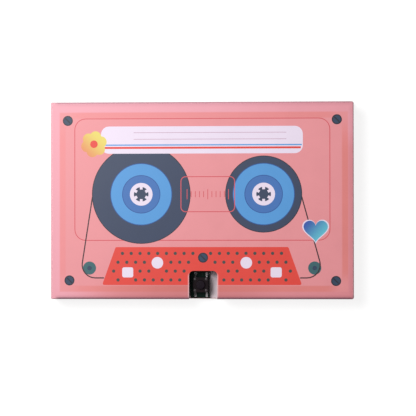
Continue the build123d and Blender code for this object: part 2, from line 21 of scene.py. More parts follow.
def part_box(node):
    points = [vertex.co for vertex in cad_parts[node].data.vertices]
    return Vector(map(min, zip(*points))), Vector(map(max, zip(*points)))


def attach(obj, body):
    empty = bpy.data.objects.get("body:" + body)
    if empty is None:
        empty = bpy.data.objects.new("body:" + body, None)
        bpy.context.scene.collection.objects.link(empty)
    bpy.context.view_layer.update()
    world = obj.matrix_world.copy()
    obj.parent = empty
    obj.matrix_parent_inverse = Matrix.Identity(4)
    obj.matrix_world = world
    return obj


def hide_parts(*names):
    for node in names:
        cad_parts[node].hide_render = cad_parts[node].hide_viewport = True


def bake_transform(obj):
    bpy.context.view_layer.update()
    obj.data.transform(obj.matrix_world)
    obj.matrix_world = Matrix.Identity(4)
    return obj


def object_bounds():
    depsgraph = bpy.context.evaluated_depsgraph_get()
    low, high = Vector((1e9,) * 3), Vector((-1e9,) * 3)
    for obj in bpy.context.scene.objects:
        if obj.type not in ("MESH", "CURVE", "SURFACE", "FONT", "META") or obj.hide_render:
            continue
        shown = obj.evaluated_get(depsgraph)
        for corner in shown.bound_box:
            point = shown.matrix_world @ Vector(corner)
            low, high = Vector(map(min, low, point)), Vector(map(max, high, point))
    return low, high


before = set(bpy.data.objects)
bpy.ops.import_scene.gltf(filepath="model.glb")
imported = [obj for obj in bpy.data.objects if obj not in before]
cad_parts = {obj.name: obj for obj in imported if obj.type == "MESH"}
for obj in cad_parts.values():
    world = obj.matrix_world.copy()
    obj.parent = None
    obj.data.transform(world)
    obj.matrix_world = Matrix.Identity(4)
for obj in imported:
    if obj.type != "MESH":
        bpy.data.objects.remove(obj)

cad_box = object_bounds()
print("solids in the frame:", len(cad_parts))

# %% [markdown]
# Shapes are worked out in millimetres, which suit a card, and become metres in one place, where a
# mesh is made. The heights and edges that everything else hangs on are read from the frame, so the
# dressing follows the solids. A box can't tell how deep a notch is or where a hole lies, so those
# few sizes are written down.

# %% Millimetres, and the places that come from the frame
MM = 0.001


def box_mm(node):
    """Lowest and highest corner of a solid of the frame, in millimetres."""
    low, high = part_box(node)
    return np.array(low) / MM, np.array(high) / MM


card_low, card_high = (np.array(corner) / MM for corner in cad_box)
crease_x, card_right = card_low[0], card_high[0]
half_height = card_high[1]
card_top = card_high[2]
cover_base = box_mm("front_liner")[0][2]
floor_height = box_mm("back_liner")[1][2]
panel_low, panel_high = box_mm("inner_panel")
circuit_face = box_mm("circuit_board")[1][2]
notch_left, notch_right = box_mm("rail_bottom_left")[1][0], box_mm("rail_bottom_right")[0][0]
notch_x = (notch_left + notch_right) / 2
notch_top, notch_radius = -27.8, 1.8
corner_radius = 0.8
play_place, record_place = (-0.7, -33.4), (-16.0, -25.4)
lamp_place, microphone_place, speaker_place = (-24.4, -25.4), (-33.4, -25.4), (31.2, -2.0)
print("card", np.round(card_high - card_low, 2), "notch", round(float(notch_right - notch_left), 2))

# %% [markdown]
# The camera looks down from about 900 mm, from above the card's right-hand end and turned back to its
# middle, so the right-hand side looks slightly taller than the left and the notch is seen a little
# from its right. A long lens keeps the edges parallel. A camera placed by hand would do as well, but
# this one was fitted to the card's corners, its notch and the switch, so that they land in place.

# %% Camera
camera_place = (58.9, -10.0, 900.0)
camera_turn = (0.447, 3.627, -0.0745)
camera_lens, sensor_width = 195.27, 36.0

camera_data = bpy.data.cameras.new("camera")
camera_data.lens = camera_lens
camera_data.sensor_width = sensor_width
camera = bpy.data.objects.new("camera", camera_data)
camera.location = Vector(camera_place) * MM
camera.rotation_euler = [math.radians(angle) for angle in camera_turn]
bpy.context.scene.collection.objects.link(camera)
bpy.context.scene.camera = camera
print("lens of", camera_lens, "mm from", camera_place[2], "mm up")

# %% [markdown]
# One soft window of light stands to the upper left, close enough to fade across the card by about a
# quarter. It leaves a satin haze on the left of the print, and puts the left and the top of the notch
# in shade. The rest is a weak even fill from all round. Three lamps would flatten the notch, so
# there is only one.

# %% Light
light_place = (-200.0, 150.0, 440.0)
light_size = 280.0
light_power = 2.46
fill_strength = 0.16

light_data = bpy.data.lights.new("window", "AREA")
light_data.size = light_size * MM
light_data.energy = light_power
light = bpy.data.objects.new("window", light_data)
light.location = Vector(light_place) * MM
to_lamp = Vector(light_place) - Vector((0, 0, card_top))
light.rotation_euler = to_lamp.to_track_quat("Z", "Y").to_euler()
bpy.context.scene.collection.objects.link(light)
print("window of", light_size, "mm,", round(to_lamp.length), "mm from the card")

# %% [markdown]
# Finishes are node trees. Small helpers keep them readable: they add a node and fill its sockets, do
# sums, ease a value from one limit to another, and mix or shade a colour. A colour is given as it
# would be picked on a screen, 0 to 255, and turned to the linear light that shaders count in.

# %% Helpers for sums and colours in node trees


def rgb(red, green, blue):
    """A screen colour as linear light: ((c + 0.055) / 1.055) to the power 2.4."""
    channels = [((value / 255 + 0.055) / 1.055) ** 2.4 for value in (red, green, blue)]
    return (*channels, 1.0)


def add_node(tree, kind, inputs=None, **options):
    """Adds a shader node. Each input is a number, a colour, or a socket to link from."""
    made = tree.nodes.new("ShaderNode" + kind)
    for option, value in options.items():
        setattr(made, option, value)
    for key, value in (inputs or {}).items():
        if isinstance(value, bpy.types.NodeSocket):
            tree.links.new(value, made.inputs[key])
        else:
            made.inputs[key].default_value = value
    return made


def sum_of(tree, operation, *values):
    """One step of arithmetic on numbers."""
    return add_node(tree, "Math", dict(enumerate(values)), operation=operation).outputs[0]


def product(tree, *values):
    """All the values multiplied together."""
    return reduce(partial(sum_of, tree, "MULTIPLY"), values)


def largest(tree, *values):
    """The largest of the values."""
    return reduce(partial(sum_of, tree, "MAXIMUM"), values)


def vector_of(tree, operation, *values):
    """One step of arithmetic on vectors. LENGTH gives a number, the rest give a vector."""
    made = add_node(tree, "VectorMath", dict(enumerate(values)), operation=operation)
    return made.outputs["Value" if operation == "LENGTH" else "Vector"]


def eased(tree, value, low, high):
    """0 at low, 1 at high, with a soft start and a soft end."""
    limits = {"Value": value, "From Min": low, "From Max": high}
    return add_node(tree, "MapRange", limits, interpolation_type="SMOOTHSTEP").outputs["Result"]


def eased_mm(tree, value, low, high):
    """The same for a value in metres, with its limits in millimetres."""
    return eased(tree, value, float(low) * MM, float(high) * MM)


def mixed(tree, share, first, second, way="MIX"):
    """A colour between two colours, or one laid over the other in the given way."""
    made = add_node(tree, "Mix", {0: share, 6: first, 7: second}, data_type="RGBA", blend_type=way)
    return made.outputs[2]


def shaded(tree, colour, level):
    """A colour multiplied by a level of grey."""
    grey = add_node(tree, "CombineXYZ", {0: level, 1: level, 2: level})
    return mixed(tree, 1.0, colour, grey.outputs[0], "MULTIPLY")


def pale_and_dark(tree, colour, value, reach):
    """The colour, made paler where the value is over a half and darker where it is under."""
    centred = sum_of(tree, "SUBTRACT", value, 0.5)
    return shaded(tree, colour, sum_of(tree, "MULTIPLY_ADD", centred, reach, 1.0))


def own_place(tree):
    """Where a point lies on its own object, in metres."""
    return add_node(tree, "TexCoord").outputs["Object"]


def own_axes(tree):
    """The three coordinates of that place."""
    return add_node(tree, "SeparateXYZ", {0: own_place(tree)}).outputs


def noise(tree, scale, detail=3.0, place=None):
    """Soft random values from 0 to 1 on the object's own coordinates. Scale counts per metre."""
    inputs = {"Vector": place or own_place(tree), "Scale": scale, "Detail": detail}
    return add_node(tree, "TexNoise", inputs).outputs["Fac"]


# %% [markdown]
# An effect that several finishes share is a node group: a small tree of its own with named sockets,
# built once and placed in each material with that material's values. A group hands on a colour, a
# roughness and a height, and the shader itself stays in the material, with its plain numbers on its
# own sockets. Copying the nodes into every material would work too, but then one change is many.

# %% Helpers for node groups and materials


def new_group(name, inputs, outputs):
    """A node group with named sockets. Returns the group, its inputs' sockets and its output node."""
    group = bpy.data.node_groups.new(name, "ShaderNodeTree")
    for socket_name, (kind, value) in inputs.items():
        socket = group.interface.new_socket(
            name=socket_name, in_out="INPUT", socket_type="NodeSocket" + kind
        )
        socket.default_value = value
    for socket_name, kind in outputs.items():
        group.interface.new_socket(name=socket_name, in_out="OUTPUT", socket_type="NodeSocket" + kind)
    return group, group.nodes.new("NodeGroupInput").outputs, group.nodes.new("NodeGroupOutput")


def new_pattern(name, **inputs):
    """A group that puts out a colour, a roughness and a height. An input is a colour or a number."""
    sockets = {
        key.replace("_", " "): ("Float" if isinstance(value, float) else "Color", value)
        for key, value in inputs.items()
    }
    return new_group(name, sockets, {"Colour": "Color", "Roughness": "Float", "Height": "Float"})


def use_group(tree, group, **inputs):
    """Places a node group in a tree and gives its sockets their values. Returns what it puts out."""
    made = tree.nodes.new("ShaderNodeGroup")
    made.node_tree = group
    for name, value in inputs.items():
        socket = made.inputs[name.replace("_", " ")]
        if isinstance(value, bpy.types.NodeSocket):
            tree.links.new(value, socket)
        else:
            socket.default_value = value
    return made.outputs


def send(tree, target, **sockets):
    """Links each socket to the target's input of that name."""
    for name, socket in sockets.items():
        tree.links.new(socket, target.inputs[name.replace("_", " ")])


def new_material(name, **sockets):
    """A material with a Principled shader whose plain values are set on its own sockets."""
    material = bpy.data.materials.new(name)
    material.use_nodes = True
    shader = material.node_tree.nodes["Principled BSDF"]
    for socket, value in sockets.items():
        shader.inputs[socket.replace("_", " ")].default_value = value
    return material, material.node_tree, shader


def lay_pattern(tree, shader, pattern, relief, strength=1.0):
    """Feeds a pattern's colour, roughness and height to a shader. Relief is in millimetres."""
    height = {"Height": pattern["Height"], "Strength": strength, "Distance": relief * MM}
    normal = add_node(tree, "Bump", height).outputs["Normal"]
    send(tree, shader, Base_Color=pattern["Colour"], Roughness=pattern["Roughness"], Normal=normal)


def surface(name, group, relief, plain=None, strength=1.0, **inputs):
    """A material made of one pattern and a few plain values."""
    material, tree, shader = new_material(name, **(plain or {}))
    lay_pattern(tree, shader, use_group(tree, group, **inputs), relief, strength)
    return material


def paint(material, *nodes):
    """Gives solids of the frame a material. Their meshes stay as they are."""
    for node in nodes:
        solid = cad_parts[node]
        solid.data.materials.clear()
        solid.data.materials.append(material)
    print(material.name, "on", len(nodes), "solids")


# %% [markdown]
# The table is plain white paper-like card, far larger than the view. To the camera it also glows a
# little, so that it comes out white where the light reaches it and keeps a faint shadow where the
# card stands in the way. Shiny parts see the same white. The air round the scene is white to the
# camera too, and only a weak fill to everything else. The table lies a hair under the card, because
# two faces at one height would flicker.

# %% Table and surroundings
floor_reach = 1500.0
floor_gap = 0.05
floor_glow = 0.85
floor_level = 0.27
white = (1.0, 1.0, 1.0, 1.0)


def seen_directly(tree):
    """1 for rays from the camera and for those that metal or glass sends on, else 0."""
    rays = add_node(tree, "LightPath").outputs
    return largest(tree, *(rays[f"Is {kind} Ray"] for kind in ("Camera", "Glossy", "Transmission")))


floor_material = bpy.data.materials.new("table")
floor_material.use_nodes = True
tree = floor_material.node_tree
tree.nodes.clear()
chalky = add_node(tree, "BsdfDiffuse", {"Color": (floor_level,) * 3 + (1.0,)})
glow = add_node(tree, "Emission", {"Strength": product(tree, seen_directly(tree), floor_glow)})
both = add_node(tree, "AddShader", {0: chalky.outputs[0], 1: glow.outputs[0]})
send(tree, add_node(tree, "OutputMaterial"), Surface=both.outputs[0])

floor_mesh = bpy.data.meshes.new("table")
floor_corners = np.array([(-1, -1, 0), (1, -1, 0), (1, 1, 0), (-1, 1, 0)]) * floor_reach * MM
floor_corners[:, 2] = -floor_gap * MM
floor_mesh.from_pydata(floor_corners.tolist(), [], [(0, 1, 2, 3)])
floor_mesh.materials.append(floor_material)
floor = bpy.data.objects.new("table", floor_mesh)
bpy.context.scene.collection.objects.link(floor)

world = bpy.data.worlds.new("surroundings")
bpy.context.scene.world = world
world.use_nodes = True
tree = world.node_tree
background = tree.nodes["Background"]
background.inputs["Color"].default_value = white
level = sum_of(tree, "MULTIPLY_ADD", seen_directly(tree), 1.0 - fill_strength, fill_strength)
send(tree, background, Strength=level)
bpy.context.scene.view_settings.view_transform = "Standard"
print("table of", 2 * floor_reach, "mm")

# %% [markdown]
# Every shape below comes from a few ways of drawing. A path is a run of straight lines with an arc
# at each corner, and it can be drawn again a little further in, which is what rounds an edge, turns
# a sheet's edge in or gives a strip its thickness.

# %% Helpers for paths


def unit(vectors):
    """Each row at length one."""
    return vectors / np.linalg.norm(vectors, axis=-1, keepdims=True)


def rounded_path(corners, radii, inset=0.0, steps=8, closed=True):
    """A path of straight runs and arcs, moved to its left by inset.

    Each corner moves along the sum of the two left-hand normals over 1 + cos(turn). Its arc has
    the radius less the inset on a left turn, or plus it on a right turn, and its centre lies that
    far to the side of the point where the arriving line ends, a radius times tan(turn / 2) early.
    """
    corners = np.asarray(corners, float)
    radii = np.broadcast_to(np.asarray(radii, float), len(corners))
    arriving = unit(corners - np.roll(corners, 1, 0))
    leaving = unit(np.roll(corners, -1, 0) - corners)
    if not closed:
        arriving[0] = leaving[0]
        leaving[-1] = arriving[-1]
    left_in = np.stack([-arriving[:, 1], arriving[:, 0]], 1)
    left_out = np.stack([-leaving[:, 1], leaving[:, 0]], 1)
    turn = np.arctan2((left_in * leaving).sum(1), (arriving * leaving).sum(1))
    side = np.sign(turn)
    radius = np.maximum(radii - side * inset, 0) * (side != 0)
    moved = corners + inset * (left_in + left_out) / (1 + np.cos(turn))[:, None]
    start = moved - (radius * np.abs(np.tan(turn / 2)))[:, None] * arriving
    centre = start + (side * radius)[:, None] * left_in
    angle = turn[:, None] * np.linspace(0, 1, steps + 1)
    spun_x = left_in[:, :1] * np.cos(angle) - left_in[:, 1:] * np.sin(angle)
    spun_y = left_in[:, :1] * np.sin(angle) + left_in[:, 1:] * np.cos(angle)
    spun = np.stack([spun_x, spun_y], -1)
    return (centre[:, None] - (side * radius)[:, None, None] * spun).reshape(-1, 2)


def circle_path(centre, radius, inset=0.0, steps=32, hole=False):
    """A circle run left-handed, or right-handed round a hole, so that inset moves it into the piece."""
    way = -1 if hole else 1
    angle = np.linspace(0, way * 2 * np.pi, steps, endpoint=False)
    return np.array(centre) + (radius - way * inset) * np.stack([np.cos(angle), np.sin(angle)], 1)


def rectangle_path(low, high, radius, inset=0.0, steps=6):
    """A rectangle with rounded corners, run left-handed."""
    corners = [(low[0], low[1]), (high[0], low[1]), (high[0], high[1]), (low[0], high[1])]
    return rounded_path(corners, radius, inset, steps)


def arc(centre, radius, start, end, steps=6):
    """Points on an arc, with its angles in degrees."""
    angle = np.radians(np.linspace(start, end, steps + 1))
    return np.array(centre) + radius * np.stack([np.cos(angle), np.sin(angle)], 1)


# %% [markdown]
# A profile of heights is carried along a path to make a rim, or turned about an axis to make a round
# part. Loops that follow one another, closed by a flat face at both ends, make a tube. All three are
# grids of points, so one function names the quads of any grid.

# %% Helpers for rims, round parts and tubes


def grid_faces(rows, columns, closed=False):
    """The quads of a grid of points, whose columns may join up again."""
    row = np.arange(rows - 1)[:, None]
    column = np.arange(columns if closed else columns - 1)[None, :]
    next_column = (column + 1) % columns
    here, above = row * columns, (row + 1) * columns
    quads = [here + column, here + next_column, above + next_column, above + column]
    return np.stack(quads, -1).reshape(-1, 4)


def lifted(loop, height):
    """Flat points raised to a height."""
    return np.column_stack([loop, np.full(len(loop), height)])


def carried(path, profile, closed=True):
    """A profile of (inset, height) pairs carried along a path, as one grid of points."""
    rows = [lifted(path(inset=inset), height) for inset, height in profile]
    return np.concatenate(rows), grid_faces(len(rows), len(rows[0]), closed)


def turned(profile, centre=(0, 0), steps=48):
    """A profile of (radius, height) pairs turned about an upright axis: x = r cos a, y = r sin a."""
    profile = np.asarray(profile, float)
    angle = np.linspace(0, 2 * np.pi, steps, endpoint=False)
    radius, height = profile[:, :1], profile[:, 1:]
    x, y = centre[0] + radius * np.cos(angle), centre[1] + radius * np.sin(angle)
    points = np.stack([x, y, height + 0 * angle], -1)
    return points.reshape(-1, 3), grid_faces(len(profile), steps, closed=True)


def tube(rows):
    """Closed loops that follow one another, with a flat face on the first and the last."""
    points, count = np.concatenate(rows), len(rows[0])
    ends = np.array([np.arange(count), (len(rows) - 1) * count + np.arange(count)])
    return [(points, grid_faces(len(rows), count, closed=True)), (points, ends)]


# %% [markdown]
# Flat faces are cut into triangles along any outlines, as a plotter would cut them, so a print's
# edges are edges of the mesh and stay crisp at any distance. A picture laid on as a texture would
# blur close up. A constrained Delaunay triangulation does the cutting, and each triangle then takes
# the ink of the last outline that holds it.

# %% Helpers for flat faces and plates
flat_band = 1.3
same_point = 1e-5


def inside(points, loops):
    """Even-odd rule: a point is inside if a ray to its right crosses the loops an odd number of times."""
    x, y = points[:, :1], points[:, 1:2]
    crossings = np.zeros(len(points), int)
    for loop in loops:
        after = np.roll(loop, -1, 0)
        spans = (loop[:, 1] > y) != (after[:, 1] > y)
        rise = np.where(after[:, 1] == loop[:, 1], 1, after[:, 1] - loop[:, 1])
        meets = loop[:, 0] + (y - loop[:, 1]) * (after[:, 0] - loop[:, 0]) / rise
        crossings += (spans & (x < meets)).sum(1)
    return crossings % 2 == 1


def without_repeats(loop, gap=same_point):
    """A closed loop without the points that lie on the one before them."""
    return loop[np.linalg.norm(loop - np.roll(loop, 1, 0), axis=1) > gap]


def face_at(border, height, shapes=()):
    """A flat face at one height, cut along its border loops and along the outline of every shape.

    Shapes are (number, loops), in the order in which they are printed. The last one that holds a
    triangle gives it its number, and a triangle that none holds has number 0.
    """
    loops = [*border, *(loop for _, shape in shapes for loop in shape)]
    loops = [without_repeats(loop) for loop in loops]
    starts = np.cumsum([0] + [len(loop) for loop in loops])
    edges = [
        np.stack([start + np.arange(len(loop)), start + np.roll(np.arange(len(loop)), -1)], 1)
        for start, loop in zip(starts, loops)
    ]
    corners = [Vector(point) for point in np.concatenate(loops)]
    found = delaunay_2d_cdt(corners, np.concatenate(edges).tolist(), [], 0, same_point)
    flat = np.array([tuple(corner) for corner in found[0]])
    triangles = np.array(found[2])
    triangles = triangles[inside(flat[triangles].mean(1), border)]
    middles = flat[triangles].mean(1)
    numbers = np.zeros(len(triangles), int)
    for number, shape in shapes:
        numbers[inside(middles, shape)] = number
    return lifted(flat, height), triangles, numbers


def rounded_rim(edge, top):
    """A quarter circle of radius edge from a narrow flat band at the top over to the wall."""
    return [(flat_band * edge, top), *arc((edge, top - edge), edge, 90, 180, 4)]


def plate(paths, low, high, edge, shapes=(), under=()):
    """A flat plate with holes and rounded edges: a face above, a face below and a rim on each path.

    The rim's profile is a quarter circle of radius edge, a straight wall and another quarter. A
    narrow flat band at both ends keeps the roundness out of the shading of the faces.
    """
    lower = arc((edge, low + edge), edge, 180, 270, 4)
    profile = [*rounded_rim(edge, high), *lower, (flat_band * edge, low)][::-1]
    border = [path(inset=flat_band * edge) for path in paths]
    rims = [carried(path, profile) for path in paths]
    return [*rims, face_at(border, high, shapes), face_at(border, low, under)]


# %% [markdown]
# A piece is made of such surfaces. They are joined into one mesh, points that meet are merged, and
# the faces are turned outwards. Then it is told which body of the card carries it, and the solids of
# the frame that it stands in for are hidden.

# %% Helpers for whole pieces
weld_distance = 2e-7
sharp_angle = math.radians(35)


def make_piece(name, parts, materials):
    """Joins surfaces given in millimetres into one mesh in metres, with its seams closed.

    Each part is (points, faces) or (points, faces, material number of each face).
    """
    points, faces, numbers, start = [], [], [], 0
    for part_points, part_faces, *part_numbers in parts:
        points.append(part_points)
        faces.extend((np.asarray(part_faces) + start).tolist())
        numbers.append(part_numbers[0] if part_numbers else np.zeros(len(part_faces), int))
        start += len(part_points)
    mesh = bpy.data.meshes.new(name)
    mesh.from_pydata((np.concatenate(points) * MM).tolist(), [], faces)
    for material in materials:
        mesh.materials.append(material)
    mesh.polygons.foreach_set("material_index", np.concatenate(numbers).astype(np.int32))
    shape = bmesh.new()
    shape.from_mesh(mesh)
    bmesh.ops.remove_doubles(shape, verts=shape.verts, dist=weld_distance)
    bmesh.ops.dissolve_degenerate(shape, edges=shape.edges, dist=weld_distance / 2)
    bmesh.ops.recalc_face_normals(shape, faces=shape.faces)
    shape.to_mesh(mesh)
    shape.free()
    mesh.shade_smooth()
    mesh.set_sharp_from_angle(angle=sharp_angle)
    piece = bpy.data.objects.new(name, mesh)
    bpy.context.scene.collection.objects.link(piece)
    print(name, len(mesh.polygons), "faces")
    return piece


def settle(piece, body, slot, *nodes):
    """Gives a finished piece its body and hides the solids that it stands for. The slot is not used."""
    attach(piece, body)
    if nodes:
        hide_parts(*nodes)


def numbered(parts, number):
    """The same surfaces, all with one material number."""
    return [(points, faces, np.full(len(faces), number)) for points, faces, *_ in parts]


# %% [markdown]
# Printed paper is the card's main finish. Ink lies on smooth coated paper under a thin satin film,
# so its colour is even, with faint blotches, and its gloss is broad. Fine fibres and tiny dents show
# through. Two node groups start it: one measures the distance to a rounded frame, and one makes the
# paper's grain from noise of several sizes, because paper is uneven at each of them.

# %% Node groups for distance and for the grain of paper


def build_frame_distance():
    """Millimetres from a rounded rectangle's edge, positive inside it, and how deep in a corner.

    With q = |p - centre| - (half size - radius), the distance outwards is the length of the
    positive part of q, plus the larger part of q where both are negative, less the radius. The
    smaller part of q is over 0 only in the four corner squares, and that is the second output.
    """
    sizes = {"Centre": ("Vector", (0, 0, 0)), "Half size": ("Vector", (1, 1, 0)), "Radius": ("Float", 1.0)}
    group, given, result = new_group("frame_distance", sizes, {"Distance": "Float", "Corner": "Float"})
    place = vector_of(group, "MULTIPLY", own_place(group), (1 / MM,) * 3)
    centred = vector_of(group, "ABSOLUTE", vector_of(group, "SUBTRACT", place, given["Centre"]))
    beyond = vector_of(group, "SUBTRACT", centred, given["Half size"])
    apart = add_node(group, "SeparateXYZ", {0: beyond}).outputs
    across, along = (sum_of(group, "ADD", apart[axis], given["Radius"]) for axis in (0, 1))
    positive = {0: largest(group, across, 0.0), 1: largest(group, along, 0.0)}
    outer = vector_of(group, "LENGTH", add_node(group, "CombineXYZ", positive).outputs[0])
    inner = sum_of(group, "MINIMUM", largest(group, across, along), 0.0)
    outwards = sum_of(group, "SUBTRACT", sum_of(group, "ADD", outer, inner), given["Radius"])
    corner = sum_of(group, "MINIMUM", across, along)
    send(group, result, Distance=product(group, outwards, -1.0), Corner=corner)
    return group


def build_paper_grain():
    """Blotches in the colour, an uneven gloss and the height of fine fibres."""
    group, given, result = new_pattern("paper_grain", Colour=white, Gloss=0.45, Blotches=0.06)
    blotch = sum_of(group, "SUBTRACT", noise(group, 160.0, 4.0), 0.5)
    speck = sum_of(group, "SUBTRACT", noise(group, 2600.0, 2.0), 0.5)
    tone = sum_of(group, "MULTIPLY_ADD", speck, 0.5, blotch)
    level = sum_of(group, "MULTIPLY_ADD", tone, given["Blotches"], 1.0)
    drawn_out = vector_of(group, "MULTIPLY", own_place(group), (1.0, 0.35, 1.0))
    send(
        group,
        result,
        Colour=shaded(group, given["Colour"], level),
        Roughness=sum_of(group, "MULTIPLY_ADD", blotch, 0.22, given["Gloss"]),
        Height=sum_of(group, "ADD", noise(group, 5200.0, 3.0, drawn_out), noise(group, 900.0, 2.0)),
    )
    return group


frame_distance = build_frame_distance()
paper_grain = build_paper_grain()
print("node groups:", frame_distance.name, paper_grain.name)


def depth_in(tree, centre, half_size, radius):
    """How deep a point lies in a rounded rectangle, and how deep in one of its corners."""
    return use_group(tree, frame_distance, Centre=(*centre, 0), Half_size=(*half_size, 0), Radius=radius)


# %% [markdown]
# Where hands rub, at the outer edges and beside the die-cut notch, the film is scuffed and the colour
# turns pale, in a band with a ragged inner limit. A dark line that hugs the folds above and below is
# painted shade, for the light that the rounded folds turn away from. It is broadest and strongest on
# the lower side, weaker to the right and above, and gone at the crease. Both are masks made from a
# point's distance to the card's outline, which is quicker than painting them by hand and goes round
# every corner evenly.

# %% Node group for wear and painted edge shade
rubbed_band, lip_band = (0.9, 0.3), (-0.62, -0.1)
# Limits of the painted shade along the folds, in millimetres from the card's outline.
thin_line, thick_line, broad_line = (0.85, 0.35), (1.3, 0.3), (2.4, 0.2)


def build_wear_and_edge_shade():
    """How far the card's printed edges are rubbed pale, and how much painted shade darkens their folds."""
    shares = {"Edge": ("Float", 0.6), "Notch": ("Float", 0.6), "Shade": ("Float", 0.8)}
    group, given, result = new_group("wear_and_edge_shade", shares, {"Mask": "Float", "Dark": "Float"})
    card_centre, card_half = (crease_x + card_right) / 2, (card_right - crease_x) / 2
    outline = depth_in(group, (card_centre, 0), (card_half, half_height), corner_radius)["Distance"]
    notch_half = ((notch_right - notch_left) / 2, half_height)
    cut = depth_in(group, (notch_x, notch_top - half_height), notch_half, notch_radius)["Distance"]
    x, y, z = own_axes(group)

    ragged = sum_of(group, "MULTIPLY_ADD", noise(group, 900.0, 4.0), 1.2, -0.25)
    rubbed = product(group, eased(group, outline, *rubbed_band), ragged, given["Edge"])
    lip = product(
        group,
        eased(group, cut, *lip_band),
        eased_mm(group, y, notch_top - 0.4, notch_top - 2.4),
        eased_mm(group, z, card_top / 2, card_top / 2 + 1),
        given["Notch"],
    )
    pale = sum_of(group, "MINIMUM", sum_of(group, "ADD", largest(group, rubbed, 0.0), lip), 1.0)

    below = eased_mm(group, y, 2.2 - half_height, 0.9 - half_height)
    line = largest(
        group,
        eased(group, outline, *thin_line),
        product(group, eased(group, outline, *thick_line), below),
        product(group, eased(group, outline, *broad_line), 0.4),
    )
    right_side = eased_mm(group, x, card_right - 1.5, card_right - 0.3)
    from_middle = sum_of(group, "ABSOLUTE", sum_of(group, "SUBTRACT", z, card_top / 2 * MM))
    dark = product(
        group,
        line,
        sum_of(group, "MULTIPLY_ADD", below, 0.5, 0.5),
        eased_mm(group, x, crease_x + 0.4, crease_x + 3.5),
        sum_of(group, "MULTIPLY_ADD", right_side, -0.4, 1.0),
        eased_mm(group, from_middle, 3.9, 4.6),
        given["Shade"],
    )
    send(group, result, Mask=pale, Dark=dark)
    return group


wear_and_edge_shade = build_wear_and_edge_shade()
print("node group:", wear_and_edge_shade.name)

# %% [markdown]
# Each ink is a material of its own, built by one function from the same groups, so the print's
# outlines stay crisp at any distance. Two small ornaments fade from one ink to another across their
# width.

# %% Inks
# Of these colours, the second is painted shade along the rounded folds.
scuffed, painted_edge_shade, thumbed = rgb(247, 206, 211), rgb(104, 56, 76), rgb(184, 92, 84)
satin = {"Coat_Weight": 0.12, "Coat_Roughness": 0.32, "Specular_IOR_Level": 0.25}


def finish_ink(tree, shader, colour):
    """Ends an ink: scuffs and painted edge shade over its colour, then the paper's grain, gloss and fibres.
    """
    worn = use_group(tree, wear_and_edge_shade, Edge=0.35, Notch=0.62, Shade=0.85)
    rubbed = mixed(tree, worn["Mask"], colour, scuffed)
    # Painted shade over the folds, where they turn away from the light.
    edged = mixed(tree, worn["Dark"], rubbed, painted_edge_shade)
    grain = use_group(tree, paper_grain, Colour=edged, Gloss=0.4, Blotches=0.07)
    lay_pattern(tree, shader, grain, relief=0.02, strength=0.12)


def plain_ink(name, *colour):
    """An ink of one colour."""
    material, tree, shader = new_material(name, **satin)
    finish_ink(tree, shader, rgb(*colour))
    return material


def fading_ink(name, first, second, start, end):
    """An ink that fades from one colour at start to another at end, two points in millimetres."""
    material, tree, shader = new_material(name, **satin)
    start, end = np.array(start, float), np.array(end, float)
    along = (end - start) / ((end - start) ** 2).sum()
    x, y, _ = own_axes(tree)
    across = sum_of(tree, "MULTIPLY_ADD", x, float(along[0]) / MM, float(-start @ along))
    share = sum_of(tree, "MULTIPLY_ADD", y, float(along[1]) / MM, across)
    finish_ink(tree, shader, mixed(tree, eased(tree, share, 0.0, 1.0), rgb(*first), rgb(*second)))
    return material


ink_colours = {
    "pale_lilac": (238, 224, 242),
    "navy": (48, 60, 86),
    "deep_navy": (22, 26, 40),
    "light_blue": (86, 154, 216),
    "mid_blue": (66, 113, 180),
    "deep_blue": (44, 86, 152),
    "coral": (226, 70, 60),
    "red_line": (212, 88, 96),
    "slate": (40, 60, 84),
    "teal": (54, 96, 102),
    "tape_brown": (40, 24, 30),
    "mauve": (196, 160, 182),
    "dot_grey": (64, 64, 62),
}
inks = {ink: plain_ink(f"{ink}_ink", *colour) for ink, colour in ink_colours.items()}
fades = {
    "blue_fade": ((52, 84, 168), (104, 196, 214), (41.0, -8.0), (49.0, -15.0)),
    "warm_fade": ((226, 140, 96), (232, 214, 108), (-48.0, 18.0), (-40.0, 26.0)),
}
inks |= {ink: fading_ink(f"{ink}_ink", *fade) for ink, fade in fades.items()}
ink_number = {ink: number + 1 for number, ink in enumerate(inks)}
print("inks:", len(inks))

# %% [markdown]
# The pink ground is the ink that varies: a pale border, a deeper band inside it, and a lighter field,
# each fading softly into the next. The print sits a little low and to the right on the card. Border
# and band are darker along the right and lower sides, and somewhat darker towards the right across
# the card: this is painted shade, for the light from the upper left falling off. The band dissolves
# towards each corner, and thumbs have browned the print by the notch. Soft limits in one material do
# this without a seam, which three inks side by side would show.

# %% The pink ground
print_shift = (0.65, -0.55)
print_half, band_corner = (60.0, half_height - 0.6), 13.0
border_limits, field_limits = (3.2, 2.6), (4.9, 5.6)
thumb_spot = (-5.0, -half_height, card_top)
thumb_limits = (44.0, 6.0)


